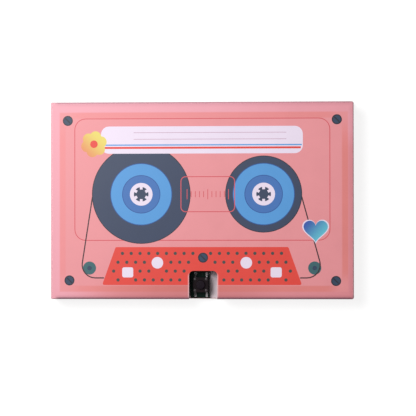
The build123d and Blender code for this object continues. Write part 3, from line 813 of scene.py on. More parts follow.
def ground_ink(name, border, band, border_in_painted_shade, band_in_painted_shade, field):
    """The pink ground by the distance from the print's edge, with painted shade on border and band."""
    material, tree, shader = new_material(name, **satin)
    distance = depth_in(tree, print_shift, print_half, 1.0)["Distance"]
    corner = depth_in(tree, print_shift, print_half, band_corner)["Corner"]
    x, y, _ = own_axes(tree)
    # Painted shade: border and band darker to the lower and right sides, and towards the right.
    painted_shade_share = largest(
        tree,
        product(tree, eased_mm(tree, y, -31.0, -33.5), eased_mm(tree, x, -58.0, -32.0)),
        product(tree, eased_mm(tree, x, 51.0, 54.0), eased_mm(tree, y, 34.0, 18.0)),
        product(tree, eased_mm(tree, x, 0.0, 50.0), 0.35),
    )
    dissolved = product(tree, eased(tree, corner, 0.5, 8.0), 0.8)
    inwards = largest(tree, eased(tree, distance, *field_limits), dissolved)
    banded = mixed(tree, inwards, mixed(tree, painted_shade_share, band, band_in_painted_shade), field)
    bordered = mixed(tree, painted_shade_share, border, border_in_painted_shade)
    ground = mixed(tree, eased(tree, distance, *border_limits), banded, bordered)
    thumb = tuple(along * MM for along in thumb_spot)
    from_thumb = vector_of(tree, "SUBTRACT", own_place(tree), thumb)
    reach = vector_of(tree, "LENGTH", vector_of(tree, "MULTIPLY", from_thumb, (1.0, 1.8, 1.0)))
    browned = product(tree, eased_mm(tree, reach, *thumb_limits), 0.42)
    finish_ink(tree, shader, mixed(tree, browned, ground, thumbed))
    return material


# Two of the colours are the border and the band in painted shade.
pink_ground = ground_ink(
    "pink_ground",
    border=rgb(238, 164, 177),
    band=rgb(234, 142, 145),
    border_in_painted_shade=rgb(226, 141, 148),
    band_in_painted_shade=rgb(226, 132, 129),
    field=rgb(233, 149, 154),
)
print("ground:", pink_ground.name)

# %% [markdown]
# The picture is a plain drawing of a tape cassette, laid out for this card: two reels, a ruled
# label, a window with ticks, the coral block that a cassette has along its lower edge, with a
# staggered row of dots, two round and two square holes, straight runs of tape over guide rollers,
# five slotted screws, a heart and a flower. Nothing on it is lettering. Each item is a closed
# outline with an ink, in the order of printing, and a later one covers what lies under it.

# %% Helpers for drawing
line_width = 0.34


def disc(centre, radius, steps=72):
    """A filled circle."""
    return [circle_path(centre, radius, steps=steps)]


def ring(centre, radius, width, steps):
    """The band between a circle and a smaller one."""
    return [circle_path(centre, radius, inset, steps) for inset in (0.0, width)]


def frame_line(low, high, radius, width=line_width):
    """The band between a rounded rectangle and a smaller one."""
    return [rectangle_path(low, high, radius, inset) for inset in (0.0, width)]


def stroke(points, radii, width):
    """A line of even width along an open path: out along one side and back along the other."""
    out, back = (rounded_path(points, radii, side * width / 2, closed=False) for side in (-1, 1))
    return [np.concatenate([out, back[::-1]])]


def ruled(left, right, y, width):
    """A level line."""
    return stroke([(left, y), (right, y)], 0, width)


def spoke(centre, degrees, *reaches):
    """Points at several distances from a centre, in one direction."""
    angle = math.radians(degrees)
    return np.array(centre) + np.outer(reaches, (math.cos(angle), math.sin(angle)))


def heart(centre, width):
    """x = 16 sin^3 t and y = 13 cos t - 5 cos 2t - 2 cos 3t - cos 4t, scaled to the width."""
    t = np.linspace(0, 2 * np.pi, 72, endpoint=False)[::-1]
    y = 13 * np.cos(t) - 5 * np.cos(2 * t) - 2 * np.cos(3 * t) - np.cos(4 * t)
    return [np.array(centre) + np.stack([16 * np.sin(t) ** 3, y], 1) * width / 32]


def flower(centre, radius, petals, ink):
    """Round petals, whose centres are evenly spaced on a circle of a little over half the radius."""
    angles = np.linspace(0, 2 * np.pi, petals, endpoint=False) + 0.3
    spots = np.array(centre) + 0.56 * radius * np.stack([np.cos(angles), np.sin(angles)], 1)
    return [(ink, disc(spot, 0.44 * radius, 40)) for spot in spots]


# %% [markdown]
# Each item of the drawing is a small function or a row of a table, so a size is changed in one place.
# The dots stand in staggered rows, and one is left out where it would touch something else. The tape
# turns round its guide rollers, and the heart has a pale rim that keeps it off the tape.

# %% The cassette
reel_height = 2.5
reels = ((-24.0, 19.6), (24.5, 15.2))
spool_rings = (("deep_blue", 12.3), ("light_blue", 12.0), ("deep_blue", 7.6), ("mid_blue", 7.3))
hub_rings = (("pale_lilac", 4.5), ("navy", 2.9))
label_low, label_high = (-40.0, 18.6), (40.0, 29.4)
label_lines = (
    ("coral", -39.2, 39.2, 20.9, 0.8),
    ("light_blue", -39.6, 39.6, 22.0, 0.5),
    ("mauve", -27.0, 33.5, 26.9, 0.22),
    ("mauve", -27.0, 33.5, 24.3, 0.22),
)
block_top, block_bottom = -18.4, -33.4
round_windows, square_windows = ((-17.6, -24.6), (17.6, -24.6)), ((-29.4, -28.4), (29.4, -28.4))
block_screw = (0.5, -22.6)
dot_step, dot_rows, dot_radius = 3.5, (-20.9, -24.4, -27.9, -31.4), 0.66
hole_gap, screw_gap, notch_gaps = 3.6, 3.2, (7.2, 2.4)
dots_reach, block_slope = 31.6, 0.36
screws = ((-53.2, 31.7), (53.4, 31.9), (-52.6, -31.6), (53.0, -31.8), block_screw)
heart_place, flower_place = (45.0, -11.6), (-42.8, 22.4)


def reel(x, tape_radius):
    """One reel: wound tape, the spool's rings and a hub with six teeth that point inwards."""
    centre = (x, reel_height)
    drawn = [("deep_navy", disc(centre, tape_radius, 96)), ("navy", disc(centre, tape_radius - 0.3, 96))]
    drawn += [(ink, disc(centre, radius)) for ink, radius in (*spool_rings, *hub_rings)]
    teeth = [spoke(centre, degrees, 3.1, 1.9) for degrees in range(90, 450, 60)]
    return drawn + [("pale_lilac", stroke(tooth, 0, 1.1)) for tooth in teeth]


def screw(centre):
    """A slotted screw, drawn as a dark rim, a slate head and one slanting slot."""
    slot = stroke(spoke(centre, 135, -1.45, 1.45), 0, 0.55)
    return [("deep_navy", disc(centre, 2.0, 40)), ("slate", disc(centre, 1.55, 40)), ("deep_navy", slot)]


def label():
    """The label: a rounded card with two stripes and two ruled lines."""
    drawn = [("pale_lilac", [rectangle_path(label_low, label_high, 3.2)])]
    return drawn + [(ink, ruled(*line)) for ink, *line in label_lines]


def has_dot(x, y):
    """Whether a dot fits: clear of holes, screw and notch, and between the slanting sides."""
    clear = all(math.dist((x, y), hole) > hole_gap for hole in (*round_windows, *square_windows))
    off_screw = math.dist((x, y), block_screw) > screw_gap
    off_notch = abs(x - notch_x) > notch_gaps[0] or y > notch_top + notch_gaps[1]
    return clear and off_screw and off_notch and abs(x) < dots_reach + (block_top - y) * block_slope


def coral_block():
    """The raised block along a cassette's lower edge, with its holes and a pattern of dots."""
    corners = [(-39.6, block_bottom), (39.6, block_bottom), (34.2, block_top), (-34.2, block_top)]
    drawn = [("coral", [rounded_path(corners, 0.6, steps=3)])]
    for row, y in enumerate(dot_rows):
        for x in np.arange(-10, 11) * dot_step + (row % 2) * dot_step / 2:
            if has_dot(x, y):
                drawn.append(("dot_grey", disc((x, y), dot_radius, 20)))
    drawn += [("pale_lilac", disc(hole, 2.3, 40)) for hole in round_windows]
    for x, y in square_windows:
        drawn.append(("pale_lilac", [rectangle_path((x - 2.2, y - 2.0), (x + 2.2, y + 2.0), 0.8)]))
    return drawn


def tape_run(side, start_x):
    """Tape from a reel down to its guide roller and in to the block."""
    roller = (side * 44.6, -26.7)
    line = [(start_x, reel_height - 1.0), (side * 48.4, -30.6), (side * 38.8, -30.6)]
    drawn = [("teal", disc(roller, 2.6, 40)), ("slate", disc(roller, 0.9, 24))]
    return [*drawn, ("tape_brown", stroke(line, (0, 5.2, 0), 0.48))]


def window():
    """The window between the reels, with ticks along its middle."""
    drawn = [("red_line", frame_line((-8.4, -4.6), (13.2, 9.6), 2.0))]
    for number, x in enumerate(np.linspace(-5.8, 10.6, 11)):
        reach = 2.0 if number % 5 == 0 else 1.2
        drawn.append(("red_line", stroke([(x, reel_height - reach), (x, reel_height + reach)], 0, 0.28)))
    return drawn


drawing = [("red_line", frame_line((-50.6, -15.9), (50.8, 32.6), 4.5))]
drawing += tape_run(-1, -43.4) + tape_run(1, 39.5)
for reel_x, tape_radius in reels:
    drawing += reel(reel_x, tape_radius)
drawing += window() + label() + coral_block()
for screw_place in screws:
    drawing += screw(screw_place)
drawing += [("pale_lilac", heart(heart_place, 10.6)), ("blue_fade", heart(heart_place, 9.6))]
drawing += flower(flower_place, 5.2, 6, "warm_fade")
drawing.append(("coral", disc(flower_place, 1.5, 32)))
print("items in the drawing:", len(drawing))

# %% [markdown]
# The cover's paper is one sheet: flat over the board, folded round its outer edges with a small
# radius, and turned in underneath. Its folded rim is a profile carried along the card's outline.
# The flat part is cut along the inks. The sheet stops just short of the crease, where a separate
# strip carries on round the corner, and it is cut off square at the notch. Solidify then gives the
# sheet its thickness, and leaves the pale core of the paper showing where it is cut.

# %% Helpers for printed covers
paper_thickness = 0.2
fold_radius, under_fold_radius = 0.45, 0.25
join_x = crease_x + 0.6


def raw_paper(name, *colour):
    """The uncoated core of a sheet, seen on its cut edge and on its inner face."""
    grain = {"Colour": rgb(*colour), "Gloss": 0.8, "Blotches": 0.12}
    return surface(name, paper_grain, 0.03, {"Specular_IOR_Level": 0.3}, strength=0.3, **grain)


def inner_radii(corners, radius):
    """One radius for every corner of an open path, and none for its two ends."""
    return [0] + [radius] * (len(corners) - 2) + [0]


def notch_cut():
    """The notch's outline from the lower left, up, across and down, as far as the folded edges."""
    foot = flat_band * fold_radius - half_height
    rise = [(notch_left, foot), (notch_left, block_bottom), (notch_left, notch_top)]
    fall = [(notch_right, notch_top), (notch_right, block_bottom), (notch_right, foot)]
    return rounded_path(rise + fall, (0, 0, notch_radius, notch_radius, 0, 0), closed=False)


def solid_sheet(piece, thickness):
    """Gives a sheet its thickness, inwards from its outer face, with the last material on the cut."""
    modifier = piece.modifiers.new("thickness", "SOLIDIFY")
    modifier.thickness = thickness * MM
    modifier.offset = -1.0
    modifier.use_even_offset = True
    modifier.material_offset = len(piece.data.materials)
    modifier.material_offset_rim = len(piece.data.materials)
    evaluated = piece.evaluated_get(bpy.context.evaluated_depsgraph_get())
    finished = bpy.data.meshes.new_from_object(evaluated)
    finished.set_sharp_from_angle(angle=sharp_angle)
    piece.modifiers.clear()
    piece.data = finished
    finished.name = piece.name


def cover_sheet(name, outer, inner, turn_in, notched, shapes, materials):
    """One cover's printed sheet, between its outer and inner heights."""
    way = np.sign(outer - inner)
    flat = flat_band * fold_radius
    fold = arc((fold_radius, 0), fold_radius, 90, 180)
    under = arc((under_fold_radius, 0), under_fold_radius, 180, 270, 4)
    profile = [
        (flat, outer),
        *((inset, outer + way * (z - fold_radius)) for inset, z in fold),
        *((inset, inner + way * (z + under_fold_radius)) for inset, z in under),
        (turn_in, inner),
    ]
    lower = [(join_x, -half_height), (card_right, -half_height)]
    upper = [(card_right, half_height), (join_x, half_height)]
    runs = [lower + upper]
    if notched:
        runs = [[lower[0], (notch_left, -half_height)], [(notch_right, -half_height), lower[1], *upper]]
    paths = [partial(rounded_path, run, inner_radii(run, corner_radius), closed=False) for run in runs]
    border = [path(inset=flat) for path in paths]
    if notched:
        border.insert(1, notch_cut())
    rims = [carried(path, profile, closed=False) for path in paths]
    piece = make_piece(name, [*rims, face_at([np.concatenate(border)], outer, shapes)], materials)
    if sum(face.normal.z * face.area for face in piece.data.polygons) * way < 0:
        piece.data.flip_normals()
    solid_sheet(piece, paper_thickness)
    return piece


# %% [markdown]
# The front carries the whole drawing. The back is plain but for a thin line round it, and its paper
# turns in as far as the edge of the lining, which covers the end of the fold.

# %% Printed covers
cover_turn_in = 2.5
paper_core = raw_paper("paper_core", 226, 205, 204)
front_shapes = [(ink_number[ink], loops) for ink, loops in drawing]
front_inks = [pink_ground, *inks.values(), paper_core]
front_heights = (card_top, cover_base, cover_turn_in)
front_paper = cover_sheet("front_paper", *front_heights, True, front_shapes, front_inks)
settle(front_paper, "front_cover", "printed_paper", "front_wrap")

back_shapes = [(1, frame_line((-50.6, -30.0), (50.8, 30.0), 4.5))]
back_inks = [pink_ground, inks["red_line"], paper_core]
back_heights = (0.0, floor_height, float(box_mm("back_liner")[0][1] + half_height))
back_paper = cover_sheet("back_paper", *back_heights, False, back_shapes, back_inks)
settle(back_paper, "back_cover", "printed_paper", "back_wrap")

# %% [markdown]
# The same printed sheet carries on over the spine. At each crease it is free of board, so it bends
# when the card opens. The spine's paper is a flat strip whose ends are folded in. Here its cross
# section, a flat loop with two folded lips, is carried up a path that goes round both corners, and
# the grid is cut into three pieces: two creases and the spine.

# %% Spine paper and creases
lip_radius = 0.4
flap_low, flap_high, flap_depth, flap_start = 2.1, 7.9, 1.5, 1.2
crease_height, crease_steps = 0.6, 8


def sheet_section(depth):
    """The loop of (across, depth) points of a sheet whose two side edges are folded back by depth."""
    corners = [(-half_height, depth), (-half_height, 0), (half_height, 0), (half_height, depth)]
    radii = (0, lip_radius, lip_radius, 0)
    outer, inner = (
        rounded_path(corners, radii, inset, steps=5, closed=False) for inset in (0.0, paper_thickness)
    )
    return np.concatenate([outer, inner[::-1]])


def folded_strip(name, path, normals, depths):
    """That section at each point of a path, laid along the card's height and in from the normal."""
    rows = []
    for (x, z), (normal_x, normal_z), depth in zip(path, normals, depths):
        across, inwards = sheet_section(depth).T
        rows.append(np.stack([x - inwards * normal_x, across, z - inwards * normal_z], 1))
    return make_piece(name, tube(rows), [pink_ground])


lower_arc = arc((crease_x + fold_radius, fold_radius), fold_radius, 270, 180, crease_steps)
lower_path = np.array([(join_x, 0.0), *lower_arc, (crease_x, crease_height)])
lower_normals = np.array([(0, -1), *unit(lower_arc - (crease_x + fold_radius, fold_radius)), (-1, 0)])
upper_path = lower_path[::-1] * (1, -1) + (0, card_top)
upper_normals = lower_normals[::-1] * (1, -1)
crease_depths = np.full(len(lower_path), lip_radius)
flap_heights = [flap_low, flap_low + 0.3, flap_high - 0.3, flap_high]
spine_heights = [crease_height, 1.2, *flap_heights, 8.8, 9.4]
spine_path = [(crease_x, height) for height in spine_heights]
spine_depths = [lip_radius, lip_radius, flap_start, flap_depth]
spine_depths += spine_depths[::-1]

lower_crease = folded_strip("lower_crease_paper", lower_path, lower_normals, crease_depths)
upper_crease = folded_strip("upper_crease_paper", upper_path, upper_normals, crease_depths)
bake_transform(lower_crease)
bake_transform(upper_crease)
spine_paper = folded_strip("spine_paper", spine_path, [(-1.0, 0.0)] * len(spine_path), spine_depths)
settle(spine_paper, "spine", "printed_paper", "spine_wrap")

# %% [markdown]
# The boards inside the covers are greyboard, pressed from recycled fibre in plies. The two lower
# rails, beside the notch, are charcoal, which is painted shade for the deep notch. Flat faces are
# mottled with flecks, and a cut edge shows fine layers. A noise squeezed along the board's thickness
# makes the layers, so no separate edge finish is needed. Foam and felt are scattered cells with fuzz
# between them.

# %% Node groups for board, foam and felt
black = (0.0, 0.0, 0.0, 1.0)
matt = {"Specular_IOR_Level": 0.25}


def build_board_fibre():
    """Flecked faces and layered edges: one noise squeezed along Z, one even noise, sparse flecks."""
    group, given, result = new_pattern("board_fibre", Colour=white, Fleck_colour=black, Plies=0.3)
    plies = noise(group, 7000.0, 2.0, vector_of(group, "MULTIPLY", own_place(group), (0.1, 0.1, 1.0)))
    mottle = noise(group, 900.0, 4.0)
    flecks = product(group, eased(group, noise(group, 2400.0, 2.0), 0.62, 0.72), 0.6)
    layered = pale_and_dark(group, given["Colour"], plies, given["Plies"])
    mottled = pale_and_dark(group, layered, mottle, 0.35)
    send(
        group,
        result,
        Colour=mixed(group, flecks, mottled, given["Fleck colour"]),
        Roughness=sum_of(group, "MULTIPLY_ADD", mottle, 0.12, 0.82),
        Height=sum_of(group, "ADD", plies, mottle),
    )
    return group


def build_soft_cells():
    """Foam or felt: round cells by the distance to scattered points, with fuzz between them."""
    defaults = {"Colour": white, "Cells_per_metre": 4000.0, "Contrast": 0.5}
    group, given, result = new_pattern("soft_cells", **defaults)
    scattered = {"Vector": own_place(group), "Scale": given["Cells per metre"]}
    cells = add_node(group, "TexVoronoi", scattered).outputs["Distance"]
    fuzz = noise(group, 9000.0, 3.0)
    both = sum_of(group, "MULTIPLY_ADD", fuzz, 0.5, product(group, cells, 0.8))
    send(
        group,
        result,
        Colour=pale_and_dark(group, given["Colour"], both, given["Contrast"]),
        Roughness=sum_of(group, "MULTIPLY_ADD", fuzz, 0.1, 0.88),
        Height=both,
    )
    return group


board_fibre = build_board_fibre()
soft_cells = build_soft_cells()


def board(name, relief, colour, flecks, plies):
    """A pressed board of one colour with flecks of another."""
    parts = {"Colour": rgb(*colour), "Fleck_colour": rgb(*flecks), "Plies": plies}
    return surface(name, board_fibre, relief, matt, **parts)


greyboard = board("greyboard", 0.03, (170, 160, 150), (92, 84, 78), 0.45)
# A dark board for the two rails beside the notch: painted shade for the deep notch.
board_in_painted_shade = board("board_in_painted_shade", 0.03, (44, 40, 43), (76, 70, 72), 0.45)
foam_tape = surface("foam_tape", soft_cells, 0.05, matt, Colour=rgb(226, 222, 208), Contrast=0.4)
felt = {"Colour": rgb(38, 38, 40), "Cells_per_metre": 7000.0, "Contrast": 0.9}
black_felt = surface("black_felt", soft_cells, 0.06, matt, **felt)
paint(greyboard, "back_board", "spine_board", "rail_left", "rail_right", "rail_top")
paint(board_in_painted_shade, "rail_bottom_left", "rail_bottom_right")
paint(foam_tape, "board_tape", "speaker_gasket")
paint(black_felt, "microphone_felt")

# %% [markdown]
# The edge of a board shows in one place, inside the notch, so the front board is modelled with its
# corners softened. It stands a hair inside its paper, because two faces in one place would flicker.

# %% Front board
board_low, board_high = box_mm("front_board")
board_edge = 0.15
crease_gap, paper_gap, face_gap = 0.25, 0.02, 0.01


def notched_outline(low, high, radii, gap=0.0, inset=0.0):
    """A rectangle with the finger notch let into its lower side, run left-handed.

    The radii are those of the rectangle's corners. The notch is wider by the gap all round.
    """
    left, right, top = notch_left - gap, notch_right + gap, notch_top + gap
    notch = [(left, low[1]), (left, top), (right, top), (right, low[1])]
    corners = [(low[0], low[1]), *notch, (high[0], low[1]), (high[0], high[1]), (low[0], high[1])]
    turn = notch_radius + gap
    return rounded_path(corners, [radii[0], 0, turn, turn, 0, *radii[1:]], inset)


front_low = board_low[:2] + (crease_gap, paper_gap)
front_outline = partial(notched_outline, front_low, board_high[:2] - paper_gap, [0.6] * 4)
front_parts = plate([front_outline], cover_base + paper_thickness, board_high[2] - face_gap, board_edge)
front_core = make_piece("front_board_core", front_parts, [greyboard])
settle(front_core, "front_cover", "greyboard", "front_board")

# %% [markdown]
# White paper lines the covers and the spine. Inside the front cover a thin pink frame and ruled lines
# leave room for a written wish. The lining is a thin plate whose lower face is cut along that
# print, just as the cover is. The floor of the tray is plain paper of the same kind.

# %% White paper and the linings
white_paper = raw_paper("white_paper", 238, 220, 226)
inner_pink = plain_ink("inner_pink_ink", 236, 160, 170)
inner_grey = plain_ink("inner_grey_ink", 186, 182, 192)
liner_low, liner_high = box_mm("front_liner")
liner_edge = 0.05
first_line, line_gap, line_count = 17.0, 7.0, 7

lining_print = [
    (1, frame_line(liner_low[:2] + margin, liner_high[:2] - margin, 2.0, width))
    for margin, width in ((4.0, 0.8), (5.6, 0.25))
]
for number in range(line_count):
    lining_print.append((2, ruled(-42.0, 42.0, first_line - number * line_gap, 0.25)))
lining_print.append((1, heart((0.0, 25.0), 6.0)))
liner_path = partial(notched_outline, liner_low, liner_high, [corner_radius] * 4)
lining_parts = plate([liner_path], liner_low[2], liner_high[2], liner_edge, under=lining_print)
front_lining = make_piece("front_lining", lining_parts, [white_paper, inner_pink, inner_grey])
settle(front_lining, "front_cover", "white_paper", "front_liner")
paint(white_paper, "back_liner", "spine_liner")

# %% [markdown]
# Under the cover, a sheet of white card closes the tray. It has a hole over the record switch, one
# over a small lamp, one for the microphone and a rosette of nineteen for the loudspeaker. Punched
# card has a slightly rounded edge on the side where the punch goes in, so the plate's edges are
# rounded a little. Rings of ink round the holes say where to press and where the sound comes out.

# %% Inner panel
panel_edge, panel_gap, panel_corner = 0.08, 0.2, 1.0
record_hole, lamp_hole, sound_hole = 4.5, 1.25, 1.0
rosette_step = 3.6

rosette = [(0.0, 0.0)]
for rank in (1, 2):
    for angle in np.linspace(0, 2 * np.pi, 6 * rank, endpoint=False):
        rosette.append((rank * rosette_step * math.cos(angle), rank * rosette_step * math.sin(angle)))
round_holes = [(record_place, record_hole), (lamp_place, lamp_hole), (microphone_place, sound_hole)]
round_holes += [(spot, sound_hole) for spot in np.array(rosette) + speaker_place]
hole_paths = [partial(circle_path, spot, radius, hole=True) for spot, radius in round_holes]
panel_path = partial(notched_outline, panel_low, panel_high, (0, panel_corner, panel_corner, 0), panel_gap)
panel_print = [
    (1, ring(record_place, 5.8, 0.8, 64)),
    (2, ring(lamp_place, 2.05, 0.25, 48)),
    (2, ring(microphone_place, 2.05, 0.25, 48)),
    (3, ring(speaker_place, 12.4, 0.7, 96)),
    (1, ring(speaker_place, 14.0, 0.25, 96)),
    (2, frame_line(panel_low[:2] + 3.2, panel_high[:2] - 3.2, 2.0, 0.3)),
]
panel_parts = plate([panel_path, *hole_paths], panel_low[2], panel_high[2], panel_edge, panel_print)
white_card = raw_paper("white_card", 238, 234, 235)
panel = make_piece("tray_panel", panel_parts, [white_card, inks["coral"], inner_grey, inks["light_blue"]])
settle(panel, "back_cover", "white_card", "inner_panel")
paint(pink_ground, "side_band")

# %% [markdown]
# Mouldings have a fine spark-eroded grain and go pale and dusty in corners. Stamped and plated metal
# has long fine streaks from rolling, soft stains, and a gloss that changes with them. Both are
# groups, so the moulding finish of the switch serves the battery holder too, and its metal the clips.

# %% Node groups for mouldings and metals


def build_moulding():
    """Fine even grain, faint cloudy flow marks, and dust where a slow noise is high."""
    grey = (0.5, 0.5, 0.5, 1.0)
    group, given, result = new_pattern("moulding", Colour=black, Dust_colour=grey, Dust=0.1)
    flow = noise(group, 700.0, 3.0)
    dusty = product(group, eased(group, noise(group, 1500.0, 4.0), 0.45, 0.75), given["Dust"])
    coloured = pale_and_dark(group, given["Colour"], flow, 0.3)
    send(
        group,
        result,
        Colour=mixed(group, dusty, coloured, given["Dust colour"]),
        Roughness=sum_of(group, "ADD", sum_of(group, "MULTIPLY_ADD", flow, 0.16, 0.34), dusty),
        Height=noise(group, 14000.0, 2.0),
    )
    return group


def build_rolled_metal():
    """Streaks along X from rolling, and a soft tarnish that dulls the gloss."""
    defaults = {"Colour": white, "Tarnish_colour": (0.3, 0.25, 0.2, 1.0), "Tarnish": 0.3, "Gloss": 0.3}
    group, given, result = new_pattern("rolled_metal", **defaults)
    drawn_out = vector_of(group, "MULTIPLY", own_place(group), (0.06, 1.0, 1.0))
    streaks = noise(group, 16000.0, 2.0, drawn_out)
    share = product(group, eased(group, noise(group, 650.0, 4.0), 0.4, 0.75), given["Tarnish"])
    coloured = pale_and_dark(group, given["Colour"], streaks, 0.22)
    rough = sum_of(group, "MULTIPLY_ADD", streaks, 0.14, given["Gloss"])
    send(
        group,
        result,
        Colour=mixed(group, share, coloured, given["Tarnish colour"]),
        Roughness=sum_of(group, "MULTIPLY_ADD", share, 0.35, rough),
        Height=streaks,
    )
    return group


moulding = build_moulding()
rolled_metal = build_rolled_metal()
print("node groups:", moulding.name, rolled_metal.name)


def moulded(name, relief, colour, dust_colour, dust, **plain):
    """A moulding, or another part with a fine even grain."""
    parts = {"Colour": rgb(*colour), "Dust_colour": rgb(*dust_colour), "Dust": dust}
    return surface(name, moulding, relief, plain, **parts)


def metal(name, relief, colour, tarnish_colour, tarnish, gloss, **plain):
    """A rolled or plated metal."""
    parts = {"Colour": rgb(*colour), "Tarnish_colour": rgb(*tarnish_colour)}
    return surface(name, rolled_metal, relief, plain, Tarnish=tarnish, Gloss=gloss, **parts)


# %% [markdown]
# The switch's plate and mouldings are black and nearly dull. The rivet heads are glossier and a
# little paler, partly painted highlight, so only they catch the light. The tin on the leads has gone
# grey, and the left-hand pair, which the wall of the notch shades, takes a darker copy of it:
# painted shade. The dome is spring steel. Values alone tell these apart, so they share two groups.

# %% Finishes of the switches
dull = {"Specular_IOR_Level": 0.06}
oxidised = {"Metallic": 0.3, "Specular_IOR_Level": 0.2}
bright = {"Metallic": 1.0}
switch_black = moulded("switch_moulding", 0.004, (16, 12, 14), (96, 84, 88), 0.06, **dull)
button_black = moulded("button_moulding", 0.003, (22, 13, 22), (90, 74, 84), 0.05, **dull)
# The rivet heads are paler than the base: partly painted highlight, besides their higher gloss.
rivet_black = moulded(
    "rivet_moulding", 0.002, (34, 26, 30), (96, 84, 90), 0.12, Specular_IOR_Level=0.35
)
switch_plate = metal("switch_plate", 0.003, (20, 12, 16), (40, 26, 31), 0.5, 0.36, **dull)
solder = metal("solder", 0.004, (156, 150, 153), (84, 74, 76), 0.6, 0.2, **oxidised)
tinned = metal("tinned_lead", 0.003, (168, 162, 165), (96, 86, 88), 0.6, 0.24, **oxidised)
# The left-hand leads' tin, darker: painted shade from the wall of the notch.
tin_in_painted_shade = metal("tin_in_painted_shade", 0.003, (98, 92, 96), (54, 47, 51), 0.7, 0.32, **oxidised)
steel = metal("bright_steel", 0.004, (190, 190, 192), (128, 118, 106), 0.3, 0.26, **bright)
print("finishes so far:", len(bpy.data.materials))

# %% [markdown]
# The switch in the notch is a push switch of the usual kind: a black moulded base, a thin plate
# riveted over it, a round button under the plate, and four bent leads that are soldered to the board.
# The base is drawn round a blind well. The plate is cut with its five holes, and its side tabs are
# bent down over the base. A tab and a lead are both a bent line and its copy one thickness away,
# made wide, which is what a press does with a strip of metal.

# %% Helpers for bent strips, softened edges and crowns
bend_steps = 4
softened_angle = math.radians(50)


def strip(line, radii, thickness, low, high, across="x"):
    """A bent strip of sheet metal: a bent line and its copy one thickness to the right, made wide.

    The line is drawn in the upright plane that stands square to the strip's width.
    """
    upper, lower = (rounded_path(line, radii, inset, bend_steps, closed=False) for inset in (0, -thickness))
    loop = without_repeats(np.concatenate([upper, lower[::-1]]))
    sides = []
    for place in (low, high):
        spread = np.full(len(loop), place)
        order = (spread, loop[:, 0]) if across == "x" else (loop[:, 0], spread)
        sides.append(np.column_stack([*order, loop[:, 1]]))
    return tube(sides)


def soften(piece, width):
    """Rounds a piece's sharp edges by a Bevel modifier. Its width is in millimetres."""
    modifier = piece.modifiers.new("softened edges", "BEVEL")
    modifier.width = width * MM
    modifier.segments = 2
    modifier.limit_method = "ANGLE"
    modifier.angle_limit = softened_angle
    modifier.harden_normals = True


def crown(radius, base, rise, steps):
    """A quarter of an ellipse from the rim up to the axis: r = radius cos a, z = base + rise sin a."""
    angle = np.linspace(0, math.pi / 2, steps)[:-1]
    rounded = np.stack([radius * np.cos(angle), base + rise * np.sin(angle)], 1)
    return [*rounded, (0, base + rise)]


# %% [markdown]
# The rivet heads, the button and the steel dome under it are round, so they are profiles turned about
# their axes, which keeps their curves smooth with few faces. The base has a wall round its outline
# and another down its well, and the plate is a thin plate like the lining.

# %% Base, plate, rivets, button and dome of a push switch
switch_half, switch_edge = 3.0, 0.12
rivet_pitch, lead_offset = 2.25, 2.25
lead_width, lead_thickness = 0.7, 0.2
well_radius, well_floor = 2.3, circuit_face + 1.95
plate_inset, plate_edge = 0.06, 0.06
button_radius, flange_radius = 1.75, 2.1
button_hole, rivet_hole, tab_half, tab_bend = 1.8, 0.36, 1.2, 0.28
base_top = circuit_face + 3.2
plate_top = base_top + 0.3


def spots_round(centre, across, along):
    """The four places at plus or minus two distances from a centre."""
    return [(centre[0] + x * across, centre[1] + y * along) for x in (-1, 1) for y in (-1, 1)]


def switch_base(centre):
    """A square block with softened edges, and a round well with a flat floor."""
    low, high = np.array(centre) - switch_half, np.array(centre) + switch_half
    outline = partial(rectangle_path, low, high, 0.3)
    well = partial(circle_path, centre, well_radius, steps=48, hole=True)
    rim = rounded_rim(switch_edge, base_top)
    flat = flat_band * switch_edge
    return [
        carried(outline, [*rim, (0, circuit_face)]),
        carried(well, [*rim, (0, well_floor)]),
        face_at([outline(inset=flat), well(inset=flat)], base_top),
        face_at([well(inset=0)], well_floor),
        face_at([outline(inset=0)], circuit_face),
    ]


def switch_cover(centre):
    """The riveted plate, with a hole for the button, four for the rivets, and a tab on each side."""
    low, high = np.array(centre) - switch_half, np.array(centre) + switch_half
    paths = [partial(rectangle_path, low + plate_inset, high - plate_inset, 0.35)]
    paths.append(partial(circle_path, centre, button_hole, steps=48, hole=True))
    for spot in spots_round(centre, rivet_pitch, rivet_pitch):
        paths.append(partial(circle_path, spot, rivet_hole, steps=20, hole=True))
    parts = plate(paths, base_top, plate_top, plate_edge)
    tab_top, tab_foot = plate_top - 0.02, plate_top - 1.6
    for side in (-1, 1):
        start, reach = (centre[0] + side * (switch_half + out) for out in (-0.2, lead_thickness))
        line = [(start, tab_top), (reach, tab_top), (reach, tab_foot)][::side]
        width = (centre[1] - tab_half, centre[1] + tab_half)
        parts += strip(line, (0, tab_bend, 0), lead_thickness, *width, across="y")
    return parts


def rivet_heads(centre):
    """Four domed heads on short shanks, each a profile turned about its axis."""
    head_radius, shank, lip, rise = 0.6, 0.35, 0.04, 0.16
    profile = [(0, base_top), (shank, base_top), (shank, plate_top), (head_radius, plate_top)]
    profile += crown(head_radius, plate_top + lip, rise, 6)
    return [turned(profile, spot, 24) for spot in spots_round(centre, rivet_pitch, rivet_pitch)]


def push_button(centre):
    """A flanged button whose top swells very slightly, turned about its axis."""
    foot, flange_top, top = circuit_face + 2.55, circuit_face + 3.15, circuit_face + 4.3
    slope, bevel, swell = 0.2, 0.05, 0.02
    shoulder = flange_radius - bevel
    profile = [(0, foot), (shoulder, foot), (flange_radius, foot + bevel)]
    profile += [(flange_radius, flange_top - bevel), (shoulder, flange_top), (button_radius, flange_top)]
    profile += [*arc((button_radius - slope, top - slope), slope, 0, 90, 5)]
    profile += [(1.2, top + swell / 2), (0, top + swell)]
    return [turned(profile, centre, 64)]


